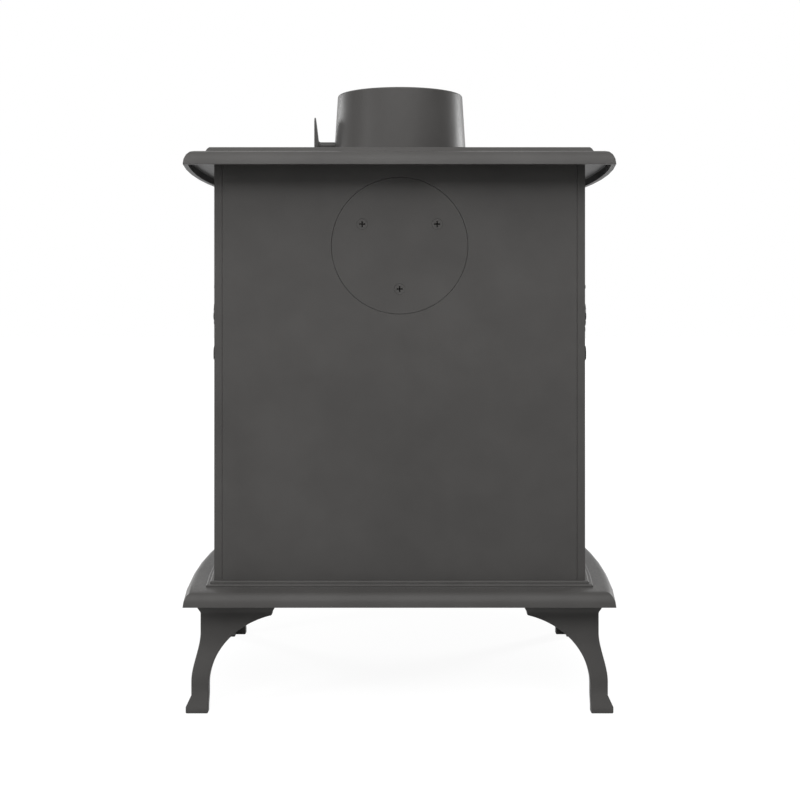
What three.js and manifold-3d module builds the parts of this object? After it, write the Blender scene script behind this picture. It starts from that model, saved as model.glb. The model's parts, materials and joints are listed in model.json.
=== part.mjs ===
// A small cast iron stove on four cabriole legs, in millimetres, +Z up. The fire door faces -Y, and
// the origin lies on the floor under the middle of the stove.
import * as THREE from "three";
import { mergeVertices } from "three/addons/utils/BufferGeometryUtils.js";
import Module from "manifold-3d";

// Fits that all pieces share
const GAP = 0.3; // between two pieces that touch
const RUN_GAP = 0.5; // round a piece that turns or slides
const OVERRUN = 2; // how far a cut runs past what it cuts
const WELD = 1; // how deep a rib or boss is rooted in its casting

// Plan of the two plates: a straight rear edge, bowed sides and a bowed front
const PLATE_HALF_WIDTH = 217;
const PLATE_DEPTH = 344;
const SIDE_BOW = 10.9;
const FRONT_BOW = 22;

// Heights of the main pieces
const LEG_HEIGHT = 109.7;
const BASE_RIM_HEIGHT = 14.3;
const SHOWN_BODY_HEIGHT = 429.4;
const TOP_RIM_HEIGHT = 14.5;
const HOB_STEP_HEIGHT = 5.6;
const COLLAR_HEIGHT = 67.5;

// Edges, mouldings and recesses of the plates
const BASE_ROUND_WIDTH = 10.5;
const BASE_LAND_WIDTH = 40;
const BASE_RECESS_DEPTH = 6.3;
const BASE_RECESS_CORNER = 25;
const MOULDING_WIDTH = 3.8;
const MOULDING_HEIGHT = 2.75;
const TOP_ROUND_WIDTH = 11;
const TOP_LIP_WIDTH = 5;
const TOP_RECESS_DEPTH = 8.1;
const HOB_RIM_WIDTH = 20.4;
const HOB_OGEE_WIDTH = 5.4;
const RIB_WIDTH = 5;
const RIB_HEIGHT = 5;

// Body walls
const BODY_SIDE_INSET = 30.5;
const BODY_REAR_INSET = 36;
const BODY_FRONT_INSET = 36;
const SIDE_WALL = 8;
const BACK_WALL = 7;
const FRAME_WALL = 8;
const FLANGE_WIDTH = 13;
const FLANGE_WALL = 6.7;
const GRATE_LEDGE_WIDTH = 34;
const GRATE_LEDGE_WALL = 8.7;

// Cabriole legs: two wings at a right angle, drawn by their outer edge, shank and arch
const LEG_SIDE_INSET = 1.4;
const LEG_END_INSET = 12;
const LEG_WALL = 11;
const FOOT_HEIGHT = 6.3;
const FOOT_BEVEL_WIDTH = 5.5;
const FOOT_BEVEL_HEIGHT = 10.6;
const ANKLE_HEIGHT = 31;
const KNEE_HEIGHT = 78.5;
const KNEE_INSET = 15.3;
const SHANK_WIDTH = 23.6;
const ARCH_START_HEIGHT = 27;
const ARCH_WIDTH = 88;
const ARCH_RISE = 76;
const WING_LENGTH = 86;
const LEG_CAP_HEIGHT = 6.5;
const LEG_CAP_FLARE = 3;
const LEG_FLANGE_WALL = 8.4;
const LEG_FLANGE_REACH = 33.4;

// Bolts
const LEG_BOLT_INSET = 36;
const LEG_BOLT_DEPTH = 10.7;
const TIE_BOLT_SIDE_INSET = 54;
const TIE_BOLT_END_INSET = 65;
const TIE_BOLT_DEPTH = 6;
const BOLT_RADIUS = 4;
const BOLT_HEAD_RADIUS = 7.5;
const BOLT_HEAD_HEIGHT = 5.5;

// Rear outlet, its blanking plate and the screws
const OUTLET_HEIGHT_UNDER_HOB = 100.2;
const BLANKING_RADIUS = 70;
const OUTLET_SEAM = 0.4;
const OUTLET_SEAT_WIDTH = 8;
const OUTLET_BOSS_WIDTH = 8;
const OUTLET_SEAT_WALL = 5.2;
const OUTLET_SCREW_CIRCLE = 44.5;
const OUTLET_LUG_RADIUS = 7.5;
const BLANKING_SCREW_HEAD_RADIUS = 5.5;
const BLANKING_SCREW_RADIUS = 2.9;
const BLANKING_SCREW_LENGTH = 13.5;
const CROSS_LENGTH = 6.4;
const CROSS_WIDTH = 1.3;
const CROSS_DEPTH = 2.2;

// Flue collar and butterfly damper
const COLLAR_FROM_REAR = 130;
const COLLAR_ROOT_RADIUS = 72.5;
const COLLAR_RIM_RADIUS = 68.4;
const COLLAR_BORE_RADIUS = 62.5;
const COLLAR_RIM_ROUND = 2;
const COLLAR_LUG_CIRCLE = 58;
const COLLAR_LUG_RADIUS = 6.2;
const COLLAR_LUG_WALL = 6;
const COLLAR_SCREW_RADIUS = 2.5;
const COLLAR_SCREW_HEAD_RADIUS = 4.2;
const COLLAR_SCREW_HEAD_HEIGHT = 3.2;
const COLLAR_SCREW_LENGTH = 14;
const DAMPER_ABOVE_HOB = 13.4;
const DAMPER_RADIUS = 51;
const DAMPER_WALL = 4;
const DAMPER_BOSS_RADIUS = 7;
const SPINDLE_RADIUS = 4;
const SPINDLE_BLIND_DEPTH = 5;
const BLADE_REACH = 94;
const BLADE_ROOT_WALL = 4.3;
const BLADE_TIP_WALL = 1.3;
const BLADE_RISE = 31;
const BLADE_WIDTH = 12;

// Door opening, door, glass and seals
const DOOR_OPENING_SIDE_INSET = 82;
const DOOR_OPENING_RISE = 100;
const DOOR_OPENING_FROM_SEAT = 51.5;
const DOOR_OPENING_CORNER = 12;
const DOOR_LAP = 23;
const DOOR_WALL = 12;
const DOOR_STAND_OFF = 2.5;
const DOOR_CORNER = 14;
const DOOR_BEAD_WIDTH = 6;
const DOOR_BEAD_HEIGHT = 2.4;
const DOOR_BEAD_INSET = 7;
const DOOR_STILE = 70;
const WINDOW_SILL_RISE = 42;
const WINDOW_SPRING_DROP = 118;
const WINDOW_ARCH_RISE = 62;
const WINDOW_FRONT_WALL = 5;
const GLASS_LAP = 8;
const GLASS_WALL = 4;
const GASKET_WALL = 2;
const GASKET_WIDTH = 6;
const ROPE_WIDTH = 10;
const ROPE_HEIGHT = 7.9;
const ROPE_FROM_OPENING = 11;
const ROPE_GROOVE_DEPTH = 6;
const ROPE_CORNER = 10;
const CLIP_LENGTH = 24;
const CLIP_WIDTH = 14;
const CLIP_WALL = 2.4;
const CLIP_SCREW_FROM_WINDOW = 18;
const CLIP_SCREW_RADIUS = 2;
const CLIP_SCREW_HEAD_RADIUS = 4;
const CLIP_SCREW_HEAD_HEIGHT = 2.4;
const CLIP_SCREW_DEPTH = 6;
const CLIP_FROM_SILL = 50;
const CLIP_FROM_SPRING = 22;

// Hinges of the door
const HINGE_FROM_DOOR_EDGE = 12;
const HINGE_STAND_OFF = 11;
const HINGE_KNUCKLE_RADIUS = 8;
const HINGE_PIN_RADIUS = 4;
const HINGE_LUG_HEIGHT = 12;
const HINGE_KNUCKLE_HEIGHT = 22;
const HINGE_PIN_HEAD_RADIUS = 6;
const HINGE_PIN_HEAD_HEIGHT = 3.5;
const HINGE_FROM_OPENING_BOTTOM = 48;
const HINGE_FROM_OPENING_TOP = 26;

// Handle and latch of the door
const HANDLE_FROM_DOOR_EDGE = 40;
const HANDLE_SPINDLE_RADIUS = 5;
const HANDLE_HUB_RADIUS = 10;
const HANDLE_HUB_HEIGHT = 14;
const HANDLE_LENGTH = 84;
const HANDLE_ROOT_HALF_WIDTH = 6;
const HANDLE_TIP_RADIUS = 9;
const HANDLE_WALL = 9;
const LATCH_REACH = 28;
const LATCH_HALF_WIDTH = 8;
const LATCH_WALL = 7;

// Ash drawer: its cast front, the sheet pan, its runners and the air wheel
const DRAWER_OPENING_FROM_DOOR_OPENING = 30.5;
const DRAWER_OPENING_RISE = 7.8;
const DRAWER_OPENING_HEIGHT = 44.2;
const DRAWER_LAP = 20;
const DRAWER_FRONT_WALL = 8;
const DRAWER_FRONT_RISE = 7;
const DRAWER_FRONT_HEIGHT = 49;
const DRAWER_FRONT_CORNER = 8;
const DRAWER_FRONT_EDGE = 2.4;
const PAN_SIDE_CLEARANCE = 4.5;
const PAN_WALL = 1.5;
const PAN_HEIGHT = 39;
const PAN_FRONT_SET_BACK = 27;
const PAN_FROM_BACK = 40;
const PAN_ARM_HEIGHT = 30;
const RUNNER_FROM_PAN_SIDE = 20;
const RUNNER_WIDTH = 8;
const RUNNER_HEIGHT = 8.6;
const WHEEL_RADIUS = 22;
const WHEEL_WALL = 5;
const WHEEL_FLUTE_DEPTH = 1;
const WHEEL_HUB_RADIUS = 6.5;
const WHEEL_HUB_HEIGHT = 4;
const AIR_PORT_INNER_RADIUS = 9.5;
const AIR_PORT_OUTER_RADIUS = 18;
const AIR_PORT_ANGLE_SHARE = 0.45; // of the angle from one air port to the next
const AIR_PORTS = 4;
const STUD_RADIUS = 3;
const STUD_KNOB_RADIUS = 7;
const STUD_KNOB_HEIGHT = 7;
const STUD_DEPTH = 6;

// Airwash slide behind the front frame
const AIRWASH_FROM_SEAT = 20.5;
const AIRWASH_SLOTS = 6;
const AIRWASH_SLOT_HEIGHT = 6;
const AIRWASH_FROM_OPENING_SIDE = 7;
const AIRWASH_END_WALL = 20;
const AIRWASH_LAP = 2;
const AIRWASH_PLATE_HEIGHT = 13;
const AIRWASH_PLATE_WALL = 3;
const AIRWASH_STEM_RADIUS = 3;
const AIRWASH_KNOB_RADIUS = 6.5;
const AIRWASH_KNOB_HEIGHT = 10;
const AIRWASH_KNOB_STAND_OFF = 5;
const GUIDE_PLACE_SHARES = [-2.5, -1.5, 1.5, 2.5]; // of the pitch of the slots
const GUIDE_LENGTH = 10;
const GUIDE_HEIGHT = 4.5;
const GUIDE_LIP = 2.5;
const GUIDE_LIP_WALL = 2.7;

// Grate, riddling rod and log guard
const GRATE_FROM_LAND = 75;
const GRATE_WALL = 12;
const GRATE_SIDE_INSET = 52;
const GRATE_FROM_FRAME = 27;
const GRATE_FROM_BACK = 28;
const GRATE_TAIL_FROM_TIE = 2;
const GRATE_TAIL_FROM_BACK = 8.5;
const GRATE_SLOT_WIDTH = 8;
const GRATE_SLOT_PITCH = 14;
const GRATE_SLOT_FROM_DISC = 16;
const GRATE_SLOT_FROM_SIDE = 26;
const GRATE_SLOT_FROM_END = 41;
const DISC_FROM_GRATE_EDGE = 21;
const DISC_WALL = 7;
const DISC_SEAT_WIDTH = 6;
const DISC_SPOKES = 12;
const DISC_SLOT_WIDTH = 8;
const DISC_SLOT_SHARES = [0.25, 0.525, 0.6, 0.9]; // ends of the slots, of the disc's radius
const DISC_SLOT_TURN = 25; // degrees
const RIDDLE_PIN_FROM_DISC_EDGE = 20;
const RIDDLE_PIN_RADIUS = 4;
const RIDDLE_PIN_LENGTH = 17;
const RIDDLE_SWING = 20; // degrees
const ROD_RADIUS = 4;
const ROD_FROM_GRATE = 6;
const ROD_EYE_HALF_WIDTH = 9;
const ROD_EYE_END = 10;
const ROD_EYE_WALL = 6;
const ROD_STAND_OFF = 33;
const ROD_KNOB_RADIUS = 7;
const ROD_KNOB_LENGTH = 16;
const GUARD_FROM_BRICK = 24.5;
const GUARD_HEIGHT = 40;
const GUARD_WALL = 6;
const GUARD_RAIL = 10;
const GUARD_BAR_WIDTH = 8;
const GUARD_BARS = 11;
const GUARD_FROM_GRATE_EDGE = 2;

// Fire bricks and baffle
const BRICK_FROM_SEAT = 99.5;
const BRICK_WALL = 25;
const BRICK_SIDE_INSET = 37.5;
const BRICK_CHAMFER = 2;
const REAR_BRICK_OVERLAP = 5.7;
const BAFFLE_WALL = 6;
const BAFFLE_SIDE_INSET = 41;
const BAFFLE_FROM_BRICK_FRONT = 35;
const BAFFLE_LIP_RISE = 22;
const BAFFLE_LIP_RUN = 12;

// Relief on the side panels: a festoon between two rosettes, each with a bud above and a drop below
const RELIEF_HEIGHT = 2.5;
const RELIEF_EDGE = 0.8;
const RELIEF_TOP_SHARE = 0.65; // how wide a form's top is, of its foot
const ROSETTE_FROM_SEAT = 156.1;
const ROSETTE_FROM_BACK = 40;
const ROSETTE_RADIUS = 9;
const BUD_RISE = 26;
const BUD_RADIUS = 3;
const DROP_FALL = 44;
const DROP_LENGTH = 22;
const DROP_WIDTH = 10;
const DROP_SHARES = [[0, 1], [-1, 0.1], [-0.7, -0.6], [0, -1], [0.7, -0.6], [1, 0.1]];
const RIBBON_WIDTH = 3;
const RIBBON_HEIGHT = 1.2;
const FESTOON_SAG = 55;
const FESTOON_WIDTH = 22;
const FESTOON_END_WIDTH = 9;

// Facets
const SIDE_FACETS = 6;
const FRONT_FACETS = 8;
const ROUND_FACETS = 4;
const LARGE_CIRCLE = 32;
const MEDIUM_CIRCLE = 16;
const SMALL_CIRCLE = 10;
const LUG_FACETS = 8;
const ROPE_FACETS = 8;
const KNOB_FACETS = 8;
const HEXAGON = 6;
const ARCH_FACETS = 12;
const CORNER_FACETS = 3;
const PORT_FACETS = 3;
const FLUTES = 8;
const FLUTE_FACETS = 4;
const LEG_FACETS = 10;
const FESTOON_FACETS = 10;
const CORNER_PASSES = 5; // to find where the curves of a side and the front meet
const MERGE_DISTANCE = 1e-4; // points closer than this are one

// Places that follow from the sizes
const yRear = (PLATE_DEPTH + FRONT_BOW) / 2;
const yCorner = yRear - PLATE_DEPTH;
const yMid = (yRear + yCorner) / 2;
const landZ = LEG_HEIGHT + BASE_RIM_HEIGHT;
const topLipZ = landZ + SHOWN_BODY_HEIGHT;
const seatZ = topLipZ + TOP_RECESS_DEPTH;
const rimZ = topLipZ + TOP_RIM_HEIGHT;
const hobZ = rimZ + HOB_STEP_HEIGHT;
const backY = yRear - BODY_REAR_INSET;
const backInnerY = backY - BACK_WALL;
const frontY = yCorner + BODY_FRONT_INSET;
const frontInnerY = frontY + FRAME_WALL;
const panelBottomZ = landZ + GAP;
const panelTopZ = seatZ - GAP;
const innerCornerX = sideX(BODY_SIDE_INSET + SIDE_WALL, backY);
const tieX = PLATE_HALF_WIDTH - TIE_BOLT_SIDE_INSET;
const tieY = PLATE_DEPTH / 2 - TIE_BOLT_END_INSET; // from the middle of the plates
const legTopZ = LEG_HEIGHT - GAP;
const legX = PLATE_HALF_WIDTH - LEG_SIDE_INSET;
const legY = PLATE_DEPTH / 2 - LEG_END_INSET; // from the middle of the plates
const rosetteY = backY - ROSETTE_FROM_BACK;
const rosetteZ = seatZ - ROSETTE_FROM_SEAT;

const collarY = yRear - COLLAR_FROM_REAR;
const damperZ = hobZ + DAMPER_ABOVE_HOB;
const outletZ = hobZ - OUTLET_HEIGHT_UNDER_HOB;

const openingHalfWidth = PLATE_HALF_WIDTH - DOOR_OPENING_SIDE_INSET;
const openingBottomZ = landZ + DOOR_OPENING_RISE;
const openingTopZ = seatZ - DOOR_OPENING_FROM_SEAT;
const doorBackY = frontY - DOOR_STAND_OFF;
const doorFrontY = doorBackY - DOOR_WALL;
const doorHalfWidth = openingHalfWidth + DOOR_LAP;
const doorBottomZ = openingBottomZ - DOOR_LAP;
const doorTopZ = openingTopZ + DOOR_LAP;
const windowHalfWidth = doorHalfWidth - DOOR_STILE;
const windowSillZ = doorBottomZ + WINDOW_SILL_RISE;
const windowSpringZ = doorTopZ - WINDOW_SPRING_DROP;
const gasketY = doorFrontY + WINDOW_FRONT_WALL + GAP;
const clipScrewX = windowHalfWidth + CLIP_SCREW_FROM_WINDOW;
const clipPlaces = [windowSillZ + CLIP_FROM_SILL, windowSpringZ - CLIP_FROM_SPRING].flatMap((z) => {
  return [[-1, z], [1, z]];
});
const hingeX = -doorHalfWidth - HINGE_FROM_DOOR_EDGE;
const hingeY = frontY - HINGE_STAND_OFF;
const hingeZs = [openingBottomZ + HINGE_FROM_OPENING_BOTTOM, openingTopZ - HINGE_FROM_OPENING_TOP];
const handleX = doorHalfWidth - HANDLE_FROM_DOOR_EDGE;
const handleZ = (doorBottomZ + doorTopZ) / 2;
const latchY = frontInnerY + RUN_GAP;

const drawerHalfWidth = openingHalfWidth - DRAWER_OPENING_FROM_DOOR_OPENING;
const drawerOpeningZ = landZ + DRAWER_OPENING_RISE;
const drawerFrontZ = landZ + DRAWER_FRONT_RISE;
const drawerFaceY = frontY - GAP - DRAWER_FRONT_WALL;
const panHalfWidth = drawerHalfWidth - PAN_SIDE_CLEARANCE;
const panY = frontY + PAN_FRONT_SET_BACK;
const panRearY = backInnerY - PAN_FROM_BACK;
const panZ = landZ + RUNNER_HEIGHT + GAP;
const runnerX = panHalfWidth - RUNNER_FROM_PAN_SIDE;
const wheelY = drawerFaceY - GAP;
const wheelZ = drawerFrontZ + DRAWER_FRONT_HEIGHT / 2;

const airwashY = frontInnerY + GAP;
const airwashZ = seatZ - AIRWASH_FROM_SEAT;
const airwashHalfLength = openingHalfWidth - AIRWASH_FROM_OPENING_SIDE;
const airwashPitch = (airwashHalfLength - AIRWASH_END_WALL) / (AIRWASH_SLOTS / 2);
const airwashSlotLength = airwashPitch / 2 - AIRWASH_LAP;
const airwashCentres = Array.from({ length: AIRWASH_SLOTS }, (_, i) => {
  const half = AIRWASH_SLOTS / 2;
  return airwashPitch * (i < half ? i - half : i - half + 1);
});

const grateZ = landZ + GRATE_FROM_LAND;
const grateTopZ = grateZ + GRATE_WALL;
const grateHalfWidth = PLATE_HALF_WIDTH - GRATE_SIDE_INSET;
const grateFrontY = frontInnerY + GRATE_FROM_FRAME;
const grateRearY = backInnerY - GRATE_FROM_BACK;
const grateMidY = (grateFrontY + grateRearY) / 2;
const tailHalfWidth = tieX - BOLT_RADIUS - GRATE_TAIL_FROM_TIE;
const tailRearY = backInnerY - GRATE_TAIL_FROM_BACK;
const discZ = grateTopZ - DISC_WALL;
const discRadius = (grateRearY - grateFrontY) / 2 - DISC_FROM_GRATE_EDGE;
const pinCircle = discRadius - RIDDLE_PIN_FROM_DISC_EDGE;
const halfSwing = THREE.MathUtils.degToRad(RIDDLE_SWING / 2);
const pinX = pinCircle * Math.cos(halfSwing);
const pinY = grateMidY + pinCircle * Math.sin(halfSwing);
const rodX = (pinX + pinCircle) / 2;
const rodZ = grateZ - ROD_FROM_GRATE;
const brickZ = grateTopZ + GAP;
const brickTopZ = seatZ - BRICK_FROM_SEAT;
const brickOuterX = PLATE_HALF_WIDTH - BRICK_SIDE_INSET;
const brickInnerX = brickOuterX - BRICK_WALL;
const brickRearY = grateRearY - REAR_BRICK_OVERLAP;

const corners = [
  ["rear_right", 1, 1],
  ["rear_left", -1, 1],
  ["front_right", 1, -1],
  ["front_left", -1, -1],
];
const screwAngles = [Math.PI / 6, (5 * Math.PI) / 6, (3 * Math.PI) / 2];

const wasm = await Module();
wasm.setup();

// Geometry helpers

function solid(geometry) {
  const bare = geometry.index ? geometry.toNonIndexed() : geometry.clone();
  const points = new THREE.BufferGeometry();
  points.setAttribute("position", bare.getAttribute("position"));
  const merged = mergeVertices(points, MERGE_DISTANCE);
  const made = new wasm.Manifold(
    new wasm.Mesh({
      numProp: 3,
      vertProperties: merged.attributes.position.array,
      triVerts: new Uint32Array(merged.index.array),
    }),
  );
  return made;
}

function geometryOf(made) {
  const mesh = made.getMesh();
  const geometry = new THREE.BufferGeometry();
  geometry.setAttribute("position", new THREE.BufferAttribute(mesh.vertProperties, 3));
  geometry.setIndex(new THREE.BufferAttribute(mesh.triVerts, 1));
  return geometry.toNonIndexed();
}

function join(...parts) {
  return parts.reduce((whole, part) => whole.add(part));
}

function cut(from, ...tools) {
  return tools.reduce((whole, tool) => whole.subtract(tool), from);
}

// The volume between rings of points: with caps at both ends, or closed on itself when looped.
function loft(rings, looped = false) {
  const count = rings[0].length;
  const triangles = [];
  const bands = looped ? rings.length : rings.length - 1;
  for (let i = 0; i < bands; i++) {
    const a = rings[i];
    const b = rings[(i + 1) % rings.length];
    for (let j = 0; j < count; j++) {
      const k = (j + 1) % count;
      triangles.push([a[j], a[k], b[k]], [a[j], b[k], b[j]]);
    }
  }
  if (!looped) {
    triangles.push(...cap(rings[0]).map((t) => t.reverse()));
    triangles.push(...cap(rings[rings.length - 1]));
  }
  const volume = triangles.reduce((sum, [a, b, c]) => sum + a.dot(b.clone().cross(c)), 0);
  const facing = volume < 0 ? triangles.map(([a, b, c]) => [a, c, b]) : triangles;
  const geometry = new THREE.BufferGeometry().setFromPoints(facing.flat());
  return solid(geometry);
}

// The triangles that fill a flat ring, turning the way the ring runs: a fan round the middle, or
// ears cut from the outline where a fan would leave it.
function cap(ring) {
  const normal = new THREE.Vector3();
  const next = (i) => ring[(i + 1) % ring.length];
  ring.forEach((p, i) => normal.add(p.clone().cross(next(i))));
  const middle = ring.reduce((sum, p) => sum.add(p), new THREE.Vector3());
  middle.divideScalar(ring.length);
  const fan = ring.map((p, i) => [middle, p, next(i)]);
  const faces = ([a, b, c]) => b.clone().sub(a).cross(c.clone().sub(a)).dot(normal) > 0;
  if (fan.every(faces)) return fan;
  const axes = ["x", "y", "z"];
  const widest = axes.reduce((a, b) => (Math.abs(normal[a]) >= Math.abs(normal[b]) ? a : b));
  const [u, v] = axes.filter((axis) => axis !== widest);
  const flat = ring.map((p) => new THREE.Vector2(p[u], p[v]));
  const ears = THREE.ShapeUtils.triangulateShape(flat, []);
  return ears.map((ear) => ear.map((i) => ring[i])).map((t) => (faces(t) ? t : t.reverse()));
}

const inPlan = ([x, y], z) => new THREE.Vector3(x, y, z);
const inFront = ([x, z], y) => new THREE.Vector3(x, y, z);
const inSide = ([y, z], x) => new THREE.Vector3(x, y, z);

// A flat outline drawn in plan, from the front or from the side, carried along the third axis.
function prism(outline, from, to, place = inPlan) {
  return loft([outline.map((p) => place(p, from)), outline.map((p) => place(p, to))]);
}

function box(x0, x1, y0, y1, z0, z1) {
  const geometry = new THREE.BoxGeometry(x1 - x0, y1 - y0, z1 - z0);
  return solid(geometry.translate((x0 + x1) / 2, (y0 + y1) / 2, (z0 + z1) / 2));
}

// A profile of radius and height, turned about the Z axis; it starts and ends on the axis.
function turned(profile, facets) {
  const points = profile.map(([r, h]) => new THREE.Vector2(r > MERGE_DISTANCE ? r : 0, h));
  const geometry = new THREE.LatheGeometry(points, facets).rotateX(Math.PI / 2);
  const made = solid(geometry);
  return made.volume() < 0 ? solid(geometry.scale(1, -1, 1)) : made;
}

function rod(radius, from, to, facets = MEDIUM_CIRCLE) {
  return turned([[0, from], [radius, from], [radius, to], [0, to]], facets);
}

// A solid drawn along Z, laid along another axis and moved into place.
const alongY = (made, x, z) => made.rotate([-90, 0, 0]).translate([x, 0, z]);
const alongX = (made, y, z) => made.rotate([0, 90, 0]).translate([0, y, z]);
const at = (made, x, y) => made.translate([x, y, 0]);

function arcPoints(cx, cy, rx, ry, fromAngle, toAngle, steps) {
  return Array.from({ length: steps + 1 }, (_, i) => {
    const a = fromAngle + ((toAngle - fromAngle) * i) / steps;
    return [cx + rx * Math.cos(a), cy + ry * Math.sin(a)];
  });
}

function circle(radius, facets, cx = 0, cy = 0) {
  return arcPoints(cx, cy, radius, radius, 0, 2 * Math.PI, facets).slice(0, -1);
}

function roundedRectangle(x0, x1, z0, z1, radius) {
  const quarter = Math.PI / 2;
  const corners = [
    [x1 - radius, z0 + radius, 3 * quarter],
    [x1 - radius, z1 - radius, 0],
    [x0 + radius, z1 - radius, quarter],
    [x0 + radius, z0 + radius, 2 * quarter],
  ];
  return corners.flatMap(([x, z, a]) => arcPoints(x, z, radius, radius, a, a + quarter, CORNER_FACETS));
}

// A frame that follows an outline: each point of its section is an inset and a depth.
function surround(outlineAt, section, place) {
  return loft(section.map(([inset, depth]) => outlineAt(inset).map((p) => place(p, depth))), true);
}

// Plan of the plates and the body

function sideX(inset, y) {
  const along = (y - yMid) / (PLATE_DEPTH / 2);
  return PLATE_HALF_WIDTH - inset + SIDE_BOW * (1 - along ** 2);
}

function bowedY(inset, x, bow) {
  return yCorner + inset - bow * (1 - (x / PLATE_HALF_WIDTH) ** 2);
}

// From the rear right corner along the side, the front and the other side.
function planRing({ side, rear, front, bow = FRONT_BOW }) {
  const startY = yRear - rear;
  let cornerY = yCorner + front;
  for (let pass = 0; pass < CORNER_PASSES; pass++) {
    cornerY = bowedY(front, sideX(side, cornerY), bow);
  }
  const cornerX = sideX(side, cornerY);
  const right = Array.from({ length: SIDE_FACETS + 1 }, (_, i) => {
    const y = startY + ((cornerY - startY) * i) / SIDE_FACETS;
    return [sideX(side, y), y];
  });
  const across = Array.from({ length: FRONT_FACETS - 1 }, (_, i) => {
    const x = cornerX * (1 - (2 * (i + 1)) / FRONT_FACETS);
    return [x, bowedY(front, x, bow)];
  });
  return [...right, ...across, ...right.map(([x, y]) => [-x, y]).reverse()];
}

const plateRing = (inset) => planRing({ side: inset, rear: inset, front: inset });

// The body's outline, larger by a margin; its front is flat.
const bodyRing = (margin) =>
  planRing({
    side: BODY_SIDE_INSET - margin,
    rear: BODY_REAR_INSET - margin,
    front: BODY_FRONT_INSET - margin,
    bow: 0,
  });

// The outline inside the body's walls, smaller by a margin.
const innerRing = (margin) =>
  planRing({
    side: BODY_SIDE_INSET + SIDE_WALL + margin,
    rear: BODY_REAR_INSET + BACK_WALL + margin,
    front: BODY_FRONT_INSET + FRAME_WALL + margin,
    bow: 0,
  });

const level = (ring, z) => ring.map((p) => inPlan(p, z));

function quarterRound(width, height, z) {
  return Array.from({ length: ROUND_FACETS + 1 }, (_, i) => {
    const a = (i / ROUND_FACETS) * (Math.PI / 2);
    return level(plateRing(width * (1 - Math.cos(a))), z + height * Math.sin(a));
  });
}

// The rib inside the walls that keeps them in place on a plate.
function locatingRib(z0, z1) {
  const inner = prism(innerRing(GAP + RIB_WIDTH), z0 - OVERRUN, z1 + OVERRUN);
  return cut(prism(innerRing(GAP), z0, z1), inner);
}

// A lug that reaches in from a bore to carry a screw, drawn round the middle of the bore.
function lugOutline(screwCircle, lugRadius, root, angle) {
  const tip = arcPoints(screwCircle, 0, lugRadius, lugRadius, Math.PI / 2, (3 * Math.PI) / 2, LUG_FACETS);
  const outline = [...tip, [root, -lugRadius], [root, lugRadius]];
  const turn = ([x, y]) => [
    x * Math.cos(angle) - y * Math.sin(angle),
    x * Math.sin(angle) + y * Math.cos(angle),
  ];
  return outline.map(turn);
}

// Base plate: quarter-round rim, two stepped mouldings round the body, ribs and pan runners
function basePlate() {
  const stepShares = [[2, 0], [2, 0.6], [1.7, 1], [1, 1], [1, 1.6], [0.7, 2]];
  const steps = stepShares.map(([out, up]) =>
    level(bodyRing(GAP + out * MOULDING_WIDTH), landZ + up * MOULDING_HEIGHT),
  );
  const lastStep = level(bodyRing(GAP), landZ + 2 * MOULDING_HEIGHT);
  const rim = quarterRound(BASE_ROUND_WIDTH, BASE_RIM_HEIGHT, LEG_HEIGHT);
  let plate = loft([...rim, ...steps, lastStep, level(bodyRing(GAP), landZ)]);

  const landX = PLATE_HALF_WIDTH - BASE_LAND_WIDTH;
  const landY = PLATE_DEPTH / 2 - BASE_LAND_WIDTH;
  const edgeX = landX - BASE_RECESS_CORNER;
  const edgeY = landY - BASE_RECESS_CORNER;
  const quarter = [[landX, edgeY], [edgeX, landY]];
  const half = [...quarter, ...quarter.map(([x, y]) => [-x, y]).reverse()];
  const octagon = [...half, ...half.map(([x, y]) => [x, -y]).reverse()];
  const recess = octagon.map(([x, y]) => [x, y + yMid]);
  plate = cut(plate, prism(recess, LEG_HEIGHT - OVERRUN, LEG_HEIGHT + BASE_RECESS_DEPTH));

  const runner = box(
    runnerX - RUNNER_WIDTH / 2,
    runnerX + RUNNER_WIDTH / 2,
    frontInnerY + 2 * RIB_WIDTH,
    panRearY,
    landZ - WELD,
    landZ + RUNNER_HEIGHT,
  );
  const rib = locatingRib(landZ - WELD, landZ + RIB_HEIGHT);
  plate = join(plate, rib, runner, runner.mirror([1, 0, 0]));

  for (const [, sx, sy] of corners) {
    const legHole = rod(BOLT_RADIUS + GAP, LEG_HEIGHT - OVERRUN, LEG_HEIGHT + LEG_BOLT_DEPTH);
    const tieHole = rod(BOLT_RADIUS + GAP, LEG_HEIGHT, landZ + OVERRUN);
    plate = cut(
      plate,
      at(legHole, sx * (legX - LEG_BOLT_INSET), yMid + sy * (legY - LEG_BOLT_INSET)),
      at(tieHole, sx * tieX, yMid + sy * tieY),
    );
  }
  return plate;
}

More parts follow.
